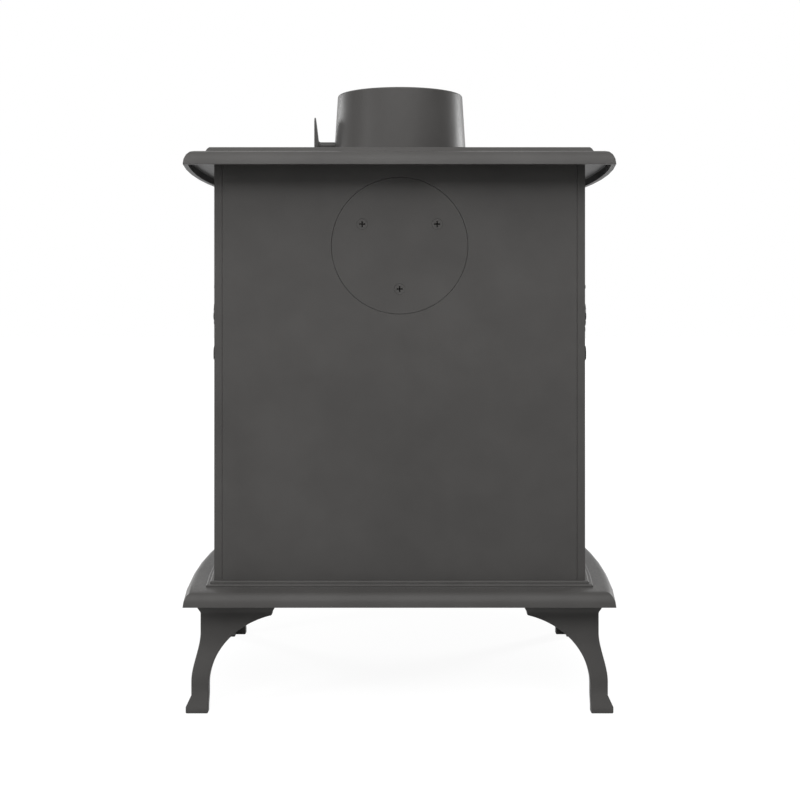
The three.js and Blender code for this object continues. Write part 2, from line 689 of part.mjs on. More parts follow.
// Top plate: quarter-round rim, an ogee step up to the hob, a hollow underside and the flue bore
function topPlate() {
  const ogee = Array.from({ length: ROUND_FACETS }, (_, i) => {
    const t = i / (ROUND_FACETS - 1);
    const rise = t * t * (3 - 2 * t);
    return level(plateRing(HOB_RIM_WIDTH + t * HOB_OGEE_WIDTH), rimZ + rise * HOB_STEP_HEIGHT);
  });
  let plate = loft([...quarterRound(TOP_ROUND_WIDTH, TOP_RIM_HEIGHT, topLipZ), ...ogee]);
  const recess = prism(plateRing(TOP_LIP_WIDTH), topLipZ - OVERRUN, seatZ);
  plate = join(cut(plate, recess), locatingRib(seatZ - RIB_HEIGHT, seatZ + WELD));
  const bore = rod(COLLAR_BORE_RADIUS, seatZ - OVERRUN, hobZ + OVERRUN, LARGE_CIRCLE);
  plate = cut(plate, at(bore, 0, collarY));
  plate = join(plate, ...collarLugs(seatZ, hobZ));
  plate = cut(plate, ...collarScrewHoles(seatZ - OVERRUN, hobZ + OVERRUN));
  for (const [, sx, sy] of corners) {
    const hole = rod(BOLT_RADIUS + GAP, seatZ - OVERRUN, seatZ + TIE_BOLT_DEPTH + GAP);
    plate = cut(plate, at(hole, sx * tieX, yMid + sy * tieY));
  }
  return plate;
}

function collarLugs(z0, z1) {
  const root = COLLAR_BORE_RADIUS + WELD;
  return screwAngles.map((a) =>
    at(prism(lugOutline(COLLAR_LUG_CIRCLE, COLLAR_LUG_RADIUS, root, a), z0, z1), 0, collarY),
  );
}

const onCollarCircle = (made, angle) =>
  at(made, COLLAR_LUG_CIRCLE * Math.cos(angle), collarY + COLLAR_LUG_CIRCLE * Math.sin(angle));

function collarScrewHoles(z0, z1) {
  const hole = rod(COLLAR_SCREW_RADIUS + GAP, z0, z1, SMALL_CIRCLE);
  return screwAngles.map((a) => onCollarCircle(hole, a));
}

// Side panel: bowed outside, with a ledge for the grate and a flange behind each end wall
function sidePanel() {
  const startY = backY;
  const endY = frontInnerY + GAP;
  const along = Array.from(
    { length: SIDE_FACETS + 1 },
    (_, i) => startY + ((endY - startY) * i) / SIDE_FACETS,
  );
  const outer = along.map((y) => [sideX(BODY_SIDE_INSET, y), y]);
  const inner = along.map((y) => [sideX(BODY_SIDE_INSET + SIDE_WALL, y), y]).reverse();
  const wall = prism([...outer, ...inner], panelBottomZ, panelTopZ);
  const ledge = box(
    innerCornerX - GRATE_LEDGE_WIDTH,
    sideX(BODY_SIDE_INSET + SIDE_WALL, yMid) + WELD,
    grateFrontY,
    brickRearY,
    grateZ - GAP - GRATE_LEDGE_WALL,
    grateZ - GAP,
  );
  const flangeX = innerCornerX - FLANGE_WIDTH;
  const flangeZ = [landZ + RIB_HEIGHT + WELD, seatZ - RIB_HEIGHT - WELD];
  const rearY = backInnerY - GAP;
  const rootX = (y) => sideX(BODY_SIDE_INSET + SIDE_WALL, y) + WELD;
  const rear = box(flangeX, rootX(rearY), rearY - FLANGE_WALL, rearY, ...flangeZ);
  const front = box(flangeX, rootX(endY), endY, endY + FLANGE_WALL, ...flangeZ);
  return join(wall, ledge, rear, front, ...sideRelief());
}

// The relief on a side panel: every point lies on the bowed side or a height above it.
const onSide = (y, z, height) => inSide([y, z], sideX(BODY_SIDE_INSET, y) + height);

// A raised form with its outline drawn round a place on the side, narrower at its top.
function raised(outline, y, z) {
  const rings = [[1, -WELD], [1, RELIEF_EDGE], [RELIEF_TOP_SHARE, RELIEF_HEIGHT]];
  return loft(
    rings.map(([share, height]) => outline.map(([u, v]) => onSide(y + share * u, z + share * v, height))),
  );
}

// The hanging garland, fullest in its middle.
function festoon() {
  const span = rosetteY - yMid;
  const rings = Array.from({ length: FESTOON_FACETS + 1 }, (_, i) => {
    const along = (2 * i) / FESTOON_FACETS - 1;
    const fullness = 1 - along ** 2;
    const slope = Math.atan2(2 * FESTOON_SAG * along, span);
    const half = (FESTOON_END_WIDTH + (FESTOON_WIDTH - FESTOON_END_WIDTH) * fullness) / 2;
    const top = half * RELIEF_TOP_SHARE;
    const section = [[-half, -WELD], [-top, RELIEF_HEIGHT], [top, RELIEF_HEIGHT], [half, -WELD]];
    return section.map(([across, height]) => {
      const y = yMid + along * span - across * Math.sin(slope);
      return onSide(y, rosetteZ - FESTOON_SAG * fullness + across * Math.cos(slope), height);
    });
  });
  return loft(rings);
}

function sideRelief() {
  const drop = DROP_SHARES.map(([u, v]) => [(u * DROP_WIDTH) / 2, (v * DROP_LENGTH) / 2]);
  const ends = [rosetteY, 2 * yMid - rosetteY].flatMap((y) => {
    const x = sideX(BODY_SIDE_INSET, y);
    const half = RIBBON_WIDTH / 2;
    return [
      raised(circle(ROSETTE_RADIUS, SMALL_CIRCLE), y, rosetteZ),
      raised(circle(BUD_RADIUS, HEXAGON), y, rosetteZ + BUD_RISE),
      raised(drop, y, rosetteZ - DROP_FALL),
      box(x - WELD, x + RIBBON_HEIGHT, y - half, y + half, rosetteZ - DROP_FALL, rosetteZ + BUD_RISE),
    ];
  });
  return [festoon(), ...ends];
}

// Back panel with the rear outlet: a rebate for the blanking plate and three screw lugs behind it
function backPanel() {
  const halfWidth = innerCornerX - GAP;
  const seatY = backInnerY - GAP;
  const bossY = seatY - OUTLET_SEAT_WALL;
  const bore = BLANKING_RADIUS + OUTLET_SEAM;
  const opening = BLANKING_RADIUS - OUTLET_SEAT_WIDTH;
  const round = (radius, y0, y1) => alongY(rod(radius, y0, y1, LARGE_CIRCLE), 0, outletZ);
  const wall = box(-halfWidth, halfWidth, backInnerY, backY, panelBottomZ, panelTopZ);
  const boss = round(bore + OUTLET_BOSS_WIDTH, bossY, backInnerY + WELD);
  const lugs = screwAngles.map((a) => {
    const outline = lugOutline(OUTLET_SCREW_CIRCLE, OUTLET_LUG_RADIUS, opening + WELD, a);
    const raised = outline.map(([x, z]) => [x, z + outletZ]);
    return prism(raised, bossY, seatY, inFront);
  });
  const open = cut(
    join(wall, boss),
    round(bore, seatY, backY + OVERRUN),
    round(opening, bossY - OVERRUN, seatY + OVERRUN),
  );
  return cut(join(open, ...lugs), ...atOutletScrews(blankingScrewTool()));
}

const atOutletScrews = (made) =>
  screwAngles.map((a) =>
    made.translate([
      OUTLET_SCREW_CIRCLE * Math.cos(a),
      0,
      outletZ + OUTLET_SCREW_CIRCLE * Math.sin(a),
    ]),
  );

// The clearance hole and countersink of a blanking plate screw.
function blankingScrewTool() {
  const shank = BLANKING_SCREW_RADIUS + GAP;
  const head = BLANKING_SCREW_HEAD_RADIUS + GAP;
  const profile = [
    [0, -BLANKING_SCREW_LENGTH - OVERRUN],
    [shank, -BLANKING_SCREW_LENGTH - OVERRUN],
    [shank, shank - head],
    [head, 0],
    [head, OVERRUN],
    [0, OVERRUN],
  ];
  return alongY(turned(profile, MEDIUM_CIRCLE), 0, 0).translate([0, backY, 0]);
}

function blankingScrew() {
  const profile = [
    [0, -BLANKING_SCREW_LENGTH],
    [BLANKING_SCREW_RADIUS, -BLANKING_SCREW_LENGTH],
    [BLANKING_SCREW_RADIUS, BLANKING_SCREW_RADIUS - BLANKING_SCREW_HEAD_RADIUS],
    [BLANKING_SCREW_HEAD_RADIUS, 0],
    [0, 0],
  ];
  const long = CROSS_LENGTH / 2;
  const wide = CROSS_WIDTH / 2;
  const cross = [
    box(-long, long, -wide, wide, -CROSS_DEPTH, OVERRUN),
    box(-wide, wide, -long, long, -CROSS_DEPTH, OVERRUN),
  ];
  const screw = cut(turned(profile, MEDIUM_CIRCLE), ...cross);
  return alongY(screw, 0, 0).translate([0, backY, 0]);
}

function blankingPlate() {
  const disc = alongY(rod(BLANKING_RADIUS, backInnerY, backY, LARGE_CIRCLE), 0, outletZ);
  return cut(disc, ...atOutletScrews(blankingScrewTool()));
}

// Flue collar: a tapered ring with three lugs inside its foot, cross-drilled for the damper
function flueCollar() {
  const z0 = hobZ + GAP;
  const z1 = hobZ + COLLAR_HEIGHT;
  const profile = [
    [COLLAR_BORE_RADIUS, z0],
    [COLLAR_ROOT_RADIUS, z0],
    [COLLAR_RIM_RADIUS, z1 - COLLAR_RIM_ROUND],
    [COLLAR_RIM_RADIUS - COLLAR_RIM_ROUND, z1],
    [COLLAR_BORE_RADIUS + COLLAR_RIM_ROUND / 2, z1],
    [COLLAR_BORE_RADIUS, z1 - COLLAR_RIM_ROUND / 2],
    [COLLAR_BORE_RADIUS, z0],
  ];
  const ring = at(turned(profile, LARGE_CIRCLE), 0, collarY);
  const drilling = rod(
    SPINDLE_RADIUS + RUN_GAP,
    -COLLAR_BORE_RADIUS - SPINDLE_BLIND_DEPTH,
    COLLAR_ROOT_RADIUS + OVERRUN,
  );
  return cut(
    join(ring, ...collarLugs(z0, z0 + COLLAR_LUG_WALL)),
    ...collarScrewHoles(z0 - OVERRUN, z0 + COLLAR_LUG_WALL + OVERRUN),
    alongX(drilling, collarY, damperZ),
  );
}

// Pan head screw with its head on top of the given height, pointing down.
function panHeadScrew(radius, length, headRadius, headHeight, facets = SMALL_CIRCLE) {
  return turned(
    [
      [0, -length],
      [radius, -length],
      [radius, 0],
      [headRadius, 0],
      [headRadius, headHeight / 2],
      [(radius + headRadius) / 2, headHeight],
      [0, headHeight],
    ],
    facets,
  );
}

function collarScrew(angle) {
  const screw = panHeadScrew(
    COLLAR_SCREW_RADIUS,
    COLLAR_SCREW_LENGTH,
    COLLAR_SCREW_HEAD_RADIUS,
    COLLAR_SCREW_HEAD_HEIGHT,
  );
  const seat = hobZ + GAP + COLLAR_LUG_WALL + GAP;
  return onCollarCircle(screw, angle).translate([0, 0, seat]);
}

// Damper: a disc with a bored boss across it, upright in the flue when it is open
function damperDisc() {
  const half = DAMPER_WALL / 2;
  const disc = alongY(rod(DAMPER_RADIUS, -half, half, LARGE_CIRCLE), 0, 0);
  const reach = DAMPER_RADIUS - OVERRUN;
  const boss = alongX(rod(DAMPER_BOSS_RADIUS, -reach, reach), 0, 0);
  const edge = DAMPER_RADIUS + OVERRUN;
  const bore = alongX(rod(SPINDLE_RADIUS + GAP, -edge, edge), 0, 0);
  return cut(join(disc, boss), bore).translate([0, collarY, damperZ]);
}

// Damper spindle, with a tapered blade for a handle at its outer end
function damperSpindle() {
  const start = GAP - COLLAR_BORE_RADIUS - SPINDLE_BLIND_DEPTH;
  const shank = alongX(rod(SPINDLE_RADIUS, start, BLADE_REACH - WELD), 0, 0);
  const low = -BLADE_WIDTH / 2;
  const innerX = BLADE_REACH - BLADE_ROOT_WALL;
  const front = [
    [BLADE_REACH, low],
    [BLADE_REACH, BLADE_RISE],
    [BLADE_REACH - BLADE_TIP_WALL, BLADE_RISE],
    [innerX, SPINDLE_RADIUS + BLADE_ROOT_WALL / 2],
    [innerX, low],
  ];
  const half = BLADE_WIDTH / 2;
  const foot = arcPoints(0, 0, half, half, Math.PI, 2 * Math.PI, ROUND_FACETS);
  const tip = arcPoints(0, BLADE_RISE - half, half, half, 0, Math.PI, ROUND_FACETS);
  const face = prism([...foot, ...tip], innerX - WELD, BLADE_REACH + WELD, inSide);
  const blade = prism(front, -half, half, inFront).intersect(face);
  const filletX = innerX - BLADE_ROOT_WALL / 2;
  const fillet = turned(
    [[0, filletX], [SPINDLE_RADIUS, filletX], [half, innerX + WELD], [0, innerX + WELD]],
    MEDIUM_CIRCLE,
  );
  return join(shank, blade, alongX(fillet, 0, 0)).translate([0, collarY, damperZ]);
}

// Cabriole leg, drawn from its outer corner: its two wings run along -X and -Y
function legEdge(z) {
  const ankle = FOOT_HEIGHT + FOOT_BEVEL_HEIGHT;
  const bevel = THREE.MathUtils.clamp((z - FOOT_HEIGHT) / (ankle - FOOT_HEIGHT), 0, 1);
  const knee = THREE.MathUtils.smoothstep(z, ANKLE_HEIGHT, KNEE_HEIGHT);
  return bevel * FOOT_BEVEL_WIDTH + knee * (KNEE_INSET - FOOT_BEVEL_WIDTH);
}

function legArch(z) {
  const rise = THREE.MathUtils.clamp((z - ARCH_START_HEIGHT) / ARCH_RISE, 0, 1);
  const run = ARCH_WIDTH * (1 - Math.sqrt(1 - rise ** 2));
  return Math.min(SHANK_WIDTH + run, WING_LENGTH);
}

function leg() {
  const wingShare = 1 - (WING_LENGTH - SHANK_WIDTH) / ARCH_WIDTH;
  const archEnd = Math.acos(wingShare);
  const arch = Array.from({ length: LEG_FACETS + 1 }, (_, i) => {
    return ARCH_START_HEIGHT + ARCH_RISE * Math.sin((archEnd * i) / LEG_FACETS);
  });
  const ring = (z, flare = 0) => {
    const o = legEdge(z) - flare;
    const i = legArch(z) + flare;
    const t = o + LEG_WALL + 2 * flare;
    const outline = [[o, o], [i, o], [i, t], [t, t], [t, i], [o, i]];
    return outline.map(([u, v]) => inPlan([-u, -v], z));
  };
  const capZ = legTopZ - LEG_CAP_HEIGHT;
  const shank = [0, FOOT_HEIGHT, FOOT_HEIGHT + FOOT_BEVEL_HEIGHT, ...arch, capZ];
  const flares = [ring(legTopZ - LEG_CAP_HEIGHT / 2, LEG_CAP_FLARE), ring(legTopZ, LEG_CAP_FLARE)];
  const wings = loft([...shank.map((z) => ring(z)), ...flares]);
  const root = -(KNEE_INSET + LEG_WALL - WELD);
  const reach = root - LEG_FLANGE_REACH;
  const flange = prism([[root, root], [reach, root], [root, reach]], legTopZ - LEG_FLANGE_WALL, legTopZ);
  const hole = rod(BOLT_RADIUS + GAP, legTopZ - LEG_FLANGE_WALL - OVERRUN, legTopZ + OVERRUN);
  return cut(join(wings, flange), at(hole, -LEG_BOLT_INSET, -LEG_BOLT_INSET));
}

// Hexagon bolt that points up from under the height given for its seat.
function hexBolt(seat, tip) {
  const head = rod(BOLT_HEAD_RADIUS, seat - BOLT_HEAD_HEIGHT, seat, HEXAGON);
  return join(head, rod(BOLT_RADIUS, seat - WELD, tip, MEDIUM_CIRCLE / 2));
}

function legBolt() {
  const seat = legTopZ - LEG_FLANGE_WALL - GAP;
  const bolt = hexBolt(seat, LEG_HEIGHT + LEG_BOLT_DEPTH - GAP);
  return at(bolt, -LEG_BOLT_INSET, -LEG_BOLT_INSET);
}

function tieBolt() {
  return hexBolt(LEG_HEIGHT + BASE_RECESS_DEPTH - GAP, seatZ + TIE_BOLT_DEPTH);
}

// Front frame: openings for the door and the drawer, airwash slots, hinge lugs and slide guides
function frontFrame() {
  const outer = [frontY, frontInnerY].map((y) => [sideX(BODY_SIDE_INSET, y), y]);
  const outline = [...outer, ...outer.map(([x, y]) => [-x, y]).reverse()];
  const through = (shape) => prism(shape, frontY - OVERRUN, frontInnerY + OVERRUN, inFront);
  const wide = openingHalfWidth;
  const doorHole = roundedRectangle(-wide, wide, openingBottomZ, openingTopZ, DOOR_OPENING_CORNER);
  const low = drawerHalfWidth;
  const drawerTop = drawerOpeningZ + DRAWER_OPENING_HEIGHT;
  const rodHole = rod(ROD_RADIUS + RUN_GAP, frontY - OVERRUN, frontInnerY + OVERRUN);
  const stem = AIRWASH_STEM_RADIUS + RUN_GAP;
  const frame = cut(
    prism(outline, panelBottomZ, panelTopZ),
    through(doorHole),
    box(-low, low, frontY - OVERRUN, frontInnerY + OVERRUN, drawerOpeningZ, drawerTop),
    alongY(rodHole, rodX, rodZ),
    box(-stem, stem + airwashPitch / 2, frontY - OVERRUN, frontInnerY + OVERRUN,
      airwashZ - stem, airwashZ + stem),
    ...airwashSlots(frontY - OVERRUN, frontInnerY + OVERRUN),
  );
  return join(frame, ...hingeZs.map(hingeLug), ...slideGuides());
}

function airwashSlots(y0, y1) {
  const long = airwashSlotLength / 2;
  const tall = AIRWASH_SLOT_HEIGHT / 2;
  return airwashCentres.map((x) => box(x - long, x + long, y0, y1, airwashZ - tall, airwashZ + tall));
}

function slideGuides() {
  const long = GUIDE_LENGTH / 2;
  const edge = AIRWASH_PLATE_HEIGHT / 2;
  const lipY = airwashY + AIRWASH_PLATE_WALL + RUN_GAP;
  const centres = GUIDE_PLACE_SHARES.map((share) => share * airwashPitch);
  const lower = centres.flatMap((x) => [
    box(x - long, x + long, frontInnerY - WELD, lipY + GUIDE_LIP_WALL,
      -edge - RUN_GAP - GUIDE_HEIGHT, -edge - RUN_GAP),
    box(x - long, x + long, lipY, lipY + GUIDE_LIP_WALL, -edge - RUN_GAP - WELD, GUIDE_LIP - edge),
  ]);
  const raise = (made) => made.translate([0, 0, airwashZ]);
  return [...lower.map(raise), ...lower.map((made) => raise(made.mirror([0, 0, 1])))];
}

function hingeLug(z) {
  const radius = HINGE_KNUCKLE_RADIUS;
  const nose = arcPoints(hingeX, hingeY, radius, radius, -Math.PI, 0, 2 * ROUND_FACETS);
  const outline = [...nose, [hingeX + radius, frontY + WELD], [hingeX - radius, frontY + WELD]];
  const hole = rod(HINGE_PIN_RADIUS + GAP, z - OVERRUN, z + HINGE_LUG_HEIGHT + OVERRUN);
  return cut(prism(outline, z, z + HINGE_LUG_HEIGHT), at(hole, hingeX, hingeY));
}

function hingePin(z) {
  const top = z + HINGE_LUG_HEIGHT + HINGE_KNUCKLE_HEIGHT + 2 * RUN_GAP;
  const head = rod(HINGE_PIN_HEAD_RADIUS, top, top + HINGE_PIN_HEAD_HEIGHT);
  return at(join(rod(HINGE_PIN_RADIUS, z + WELD, top + WELD), head), hingeX, hingeY);
}

// Fire door: an arched window, beads round window and edge, a rope groove and two hinge knuckles
function archOutline(inset) {
  const half = windowHalfWidth - inset;
  const rise = WINDOW_ARCH_RISE - inset;
  const arch = arcPoints(0, windowSpringZ, half, rise, 0, Math.PI, ARCH_FACETS);
  return [[-half, windowSillZ + inset], [half, windowSillZ + inset], ...arch];
}

function doorOutline(inset) {
  const half = doorHalfWidth - inset;
  return roundedRectangle(-half, half, doorBottomZ + inset, doorTopZ - inset, DOOR_CORNER - inset);
}

function ropeOutline(inset) {
  const half = openingHalfWidth + ROPE_FROM_OPENING - inset;
  const low = openingBottomZ - ROPE_FROM_OPENING + inset;
  const high = openingTopZ + ROPE_FROM_OPENING - inset;
  return roundedRectangle(-half, half, low, high, ROPE_CORNER - inset);
}

const inFrontRing = (outline, y) => outline.map((p) => inFront(p, y));

// A raised bead round an outline, rooted in the door's face.
function bead(outlineAt, inset) {
  const half = DOOR_BEAD_WIDTH / 2;
  const face = doorFrontY;
  const section = [
    [inset - half, face + WELD],
    [inset - half, face],
    [inset - half / 2, face - DOOR_BEAD_HEIGHT],
    [inset + half / 2, face - DOOR_BEAD_HEIGHT],
    [inset + half, face],
    [inset + half, face + WELD],
  ];
  return surround(outlineAt, section, inFront);
}

function fireDoor() {
  const slab = loft([
    inFrontRing(doorOutline(0), doorBackY),
    inFrontRing(doorOutline(0), doorFrontY + DOOR_BEAD_HEIGHT),
    inFrontRing(doorOutline(DOOR_BEAD_HEIGHT), doorFrontY),
  ]);
  const window = prism(archOutline(0), doorFrontY - OVERRUN, doorBackY + OVERRUN, inFront);
  const rebate = archOutline(-GLASS_LAP - GAP);
  const rebateY = doorFrontY + WINDOW_FRONT_WALL;
  const grooveHalf = ROPE_WIDTH / 2 + GAP;
  const grooveY = doorBackY - ROPE_GROOVE_DEPTH;
  const groove = [
    [-grooveHalf, grooveY],
    [grooveHalf, grooveY],
    [grooveHalf, doorBackY + OVERRUN],
    [-grooveHalf, doorBackY + OVERRUN],
  ];
  const spindleHole = rod(HANDLE_SPINDLE_RADIUS + RUN_GAP, doorFrontY - OVERRUN, doorBackY + OVERRUN);
  const clipHole = rod(
    CLIP_SCREW_RADIUS + GAP,
    doorBackY - CLIP_SCREW_DEPTH,
    doorBackY + OVERRUN,
    SMALL_CIRCLE,
  );
  const holes = clipPlaces.map(([side, z]) => alongY(clipHole, side * clipScrewX, z));
  const beadInset = -DOOR_BEAD_INSET;
  return cut(
    join(
      slab,
      bead(archOutline, beadInset),
      bead(doorOutline, DOOR_BEAD_INSET),
      ...hingeZs.map(knuckle),
    ),
    window,
    prism(rebate, rebateY, doorBackY + OVERRUN, inFront),
    surround(ropeOutline, groove, inFront),
    alongY(spindleHole, handleX, handleZ),
    ...holes,
    ...hingeZs.map(knuckleHole),
  );
}

const knuckleZ = (lugZ) => lugZ + HINGE_LUG_HEIGHT + RUN_GAP;

function knuckle(lugZ) {
  const z = knuckleZ(lugZ);
  const barrel = rod(HINGE_KNUCKLE_RADIUS, z, z + HINGE_KNUCKLE_HEIGHT);
  const arm = box(
    hingeX,
    WELD - doorHalfWidth,
    doorFrontY + WELD,
    doorBackY - WELD,
    z,
    z + HINGE_KNUCKLE_HEIGHT,
  );
  return join(at(barrel, hingeX, hingeY), arm);
}

function knuckleHole(lugZ) {
  const z = knuckleZ(lugZ);
  const hole = rod(HINGE_PIN_RADIUS + RUN_GAP, z - OVERRUN, z + HINGE_KNUCKLE_HEIGHT + OVERRUN);
  return at(hole, hingeX, hingeY);
}

function glassGasket() {
  const section = [
    [-GLASS_LAP, gasketY],
    [GASKET_WIDTH - GLASS_LAP, gasketY],
    [GASKET_WIDTH - GLASS_LAP, gasketY + GASKET_WALL],
    [-GLASS_LAP, gasketY + GASKET_WALL],
  ];
  return surround(archOutline, section, inFront);
}

function doorGlass() {
  const y = gasketY + GASKET_WALL + GAP;
  return prism(archOutline(-GLASS_LAP), y, y + GLASS_WALL, inFront);
}

function doorRope() {
  const y = doorBackY - ROPE_GROOVE_DEPTH + GAP + ROPE_HEIGHT / 2;
  const round = arcPoints(0, y, ROPE_WIDTH / 2, ROPE_HEIGHT / 2, 0, 2 * Math.PI, ROPE_FACETS);
  const section = round.slice(1);
  return surround(ropeOutline, section, inFront);
}

function glassClip([side, z]) {
  const y = doorBackY + GAP;
  const half = CLIP_WIDTH / 2;
  const middle = windowHalfWidth + CLIP_LENGTH / 2 + OVERRUN;
  const reach = CLIP_LENGTH / 2 - half;
  const ends = [
    ...arcPoints(middle + reach, 0, half, half, -Math.PI / 2, Math.PI / 2, ROUND_FACETS),
    ...arcPoints(middle - reach, 0, half, half, Math.PI / 2, (3 * Math.PI) / 2, ROUND_FACETS),
  ];
  const outline = ends.map(([x, h]) => [side * x, z + h]);
  const hole = rod(CLIP_SCREW_RADIUS + GAP, y - OVERRUN, y + CLIP_WALL + OVERRUN, SMALL_CIRCLE);
  return cut(prism(outline, y, y + CLIP_WALL, inFront), alongY(hole, side * clipScrewX, z));
}

function clipScrew([side, z]) {
  const seat = doorBackY + GAP + CLIP_WALL + GAP;
  const screw = panHeadScrew(
    CLIP_SCREW_RADIUS,
    CLIP_SCREW_DEPTH + CLIP_WALL + GAP,
    CLIP_SCREW_HEAD_RADIUS,
    CLIP_SCREW_HEAD_HEIGHT,
  );
  return alongY(screw, side * clipScrewX, z).translate([0, seat, 0]);
}

// Door handle: hub, lever and spindle in one; the latch tongue sits on the spindle's inner end
function doorHandle() {
  const hubY = doorFrontY - RUN_GAP;
  const hub = rod(HANDLE_HUB_RADIUS, hubY - HANDLE_HUB_HEIGHT, hubY);
  const spindle = rod(HANDLE_SPINDLE_RADIUS, hubY - WELD, latchY + LATCH_WALL + RUN_GAP);
  const root = HANDLE_ROOT_HALF_WIDTH;
  const tip = arcPoints(
    HANDLE_LENGTH - HANDLE_TIP_RADIUS, 0, HANDLE_TIP_RADIUS, HANDLE_TIP_RADIUS,
    -Math.PI / 2, Math.PI / 2, ROUND_FACETS,
  );
  const neckX = HANDLE_LENGTH - 3 * HANDLE_TIP_RADIUS;
  const outline = [[0, -root], [neckX, -root], ...tip, [neckX, root], [0, root]];
  const leverY = hubY - HANDLE_HUB_HEIGHT;
  const inset = root / 2;
  const narrow = outline.map(([x, z]) => [x, z * (1 - inset / HANDLE_TIP_RADIUS)]);
  const lever = loft([
    inFrontRing(narrow, leverY),
    inFrontRing(outline, leverY + inset),
    inFrontRing(outline, leverY + HANDLE_WALL),
  ]);
  return join(alongY(join(hub, spindle), 0, 0), lever).translate([handleX, 0, handleZ]);
}

function doorLatch() {
  const half = LATCH_HALF_WIDTH;
  const hub = arcPoints(0, 0, half, half, Math.PI, 2 * Math.PI, ROUND_FACETS);
  const tongue = [[half, LATCH_REACH - half / 2], [half / 2, LATCH_REACH], [-half, LATCH_REACH]];
  const hole = rod(HANDLE_SPINDLE_RADIUS + GAP, latchY - OVERRUN, latchY + LATCH_WALL + OVERRUN);
  const plate = prism([...hub, ...tongue], latchY, latchY + LATCH_WALL, inFront);
  return cut(plate, alongY(hole, 0, 0)).translate([handleX, 0, handleZ]);
}

// Ash drawer: the cast front with its air ports
function airPorts(y0, y1) {
  const pitch = (2 * Math.PI) / AIR_PORTS;
  const half = (pitch * AIR_PORT_ANGLE_SHARE) / 2;
  return Array.from({ length: AIR_PORTS }, (_, i) => {
    const middle = pitch * (i + 0.5);
    const outer = AIR_PORT_OUTER_RADIUS;
    const inner = AIR_PORT_INNER_RADIUS;
    const outline = [
      ...arcPoints(0, wheelZ, outer, outer, middle - half, middle + half, PORT_FACETS),
      ...arcPoints(0, wheelZ, inner, inner, middle + half, middle - half, PORT_FACETS),
    ];
    return prism(outline, y0, y1, inFront);
  });
}

function ashDrawerFront() {
  const half = drawerHalfWidth + DRAWER_LAP;
  const outlineAt = (inset) => {
    const top = drawerFrontZ + DRAWER_FRONT_HEIGHT - inset;
    const radius = DRAWER_FRONT_CORNER - inset;
    return roundedRectangle(inset - half, half - inset, drawerFrontZ + inset, top, radius);
  };
  const innerY = drawerFaceY + DRAWER_FRONT_WALL;
  const slab = loft([
    inFrontRing(outlineAt(0), innerY),
    inFrontRing(outlineAt(0), drawerFaceY + DRAWER_FRONT_EDGE),
    inFrontRing(outlineAt(DRAWER_FRONT_EDGE), drawerFaceY),
  ]);
  const hole = rod(STUD_RADIUS + GAP, drawerFaceY - OVERRUN, drawerFaceY + STUD_DEPTH + GAP);
  return cut(
    slab,
    alongY(hole, 0, wheelZ),
    ...airPorts(drawerFaceY - OVERRUN, innerY + OVERRUN),
  );
}

// Ash pan: a folded tray whose sides run forward to the drawer's front
function ashPan() {
  const x = panHalfWidth;
  const inner = x - PAN_WALL;
  const outside = box(-x, x, panY, panRearY, panZ, panZ + PAN_HEIGHT);
  const inside = box(
    -inner,
    inner,
    panY + PAN_WALL,
    panRearY - PAN_WALL,
    panZ + PAN_WALL,
    panZ + PAN_HEIGHT + OVERRUN,
  );
  const armY = drawerFaceY + DRAWER_FRONT_WALL + GAP;
  const arm = box(inner, x, armY, panY + WELD, panZ, panZ + PAN_ARM_HEIGHT);
  return join(cut(outside, inside), arm, arm.mirror([1, 0, 0]));
}

// Air wheel: a fluted disc with ports that meet those of the drawer, on a stud with a knob
function airWheel() {
  const rim = circle(1, FLUTES * FLUTE_FACETS).map(([x, z], i) => {
    const radius = WHEEL_RADIUS - (i % FLUTE_FACETS < FLUTE_FACETS / 2 ? 0 : WHEEL_FLUTE_DEPTH);
    return [x * radius, wheelZ + z * radius];
  });
  const hub = rod(WHEEL_HUB_RADIUS, wheelY - WHEEL_WALL - WHEEL_HUB_HEIGHT, wheelY - WHEEL_WALL / 2);
  const reach = wheelY - WHEEL_WALL - WHEEL_HUB_HEIGHT - OVERRUN;
  const hole = rod(STUD_RADIUS + RUN_GAP, reach, wheelY + OVERRUN);
  return cut(
    join(prism(rim, wheelY - WHEEL_WALL, wheelY, inFront), alongY(hub, 0, wheelZ)),
    alongY(hole, 0, wheelZ),
    ...airPorts(wheelY - WHEEL_WALL - OVERRUN, wheelY + OVERRUN),
  );
}

function airWheelStud() {
  const knobY = wheelY - WHEEL_WALL - WHEEL_HUB_HEIGHT - GAP;
  const dome = arcPoints(
    0, knobY - STUD_KNOB_HEIGHT / 2, STUD_KNOB_RADIUS, STUD_KNOB_HEIGHT / 2,
    -Math.PI / 2, 0, ROUND_FACETS,
  );
  const profile = [
    ...dome,
    [STUD_KNOB_RADIUS, knobY],
    [STUD_RADIUS, knobY],
    [STUD_RADIUS, drawerFaceY + STUD_DEPTH],
    [0, drawerFaceY + STUD_DEPTH],
  ];
  return alongY(turned(profile, MEDIUM_CIRCLE), 0, wheelZ);
}

// Airwash slide and its knob
function airwashSlide() {
  const tall = AIRWASH_PLATE_HEIGHT / 2;
  const y1 = airwashY + AIRWASH_PLATE_WALL;
  const long = airwashHalfLength;
  const hole = rod(AIRWASH_STEM_RADIUS + GAP, airwashY - OVERRUN, y1 + OVERRUN, SMALL_CIRCLE);
  return cut(
    box(-long, long, airwashY, y1, airwashZ - tall, airwashZ + tall),
    alongY(hole, 0, airwashZ),
    ...airwashSlots(airwashY - OVERRUN, y1 + OVERRUN),
  );
}

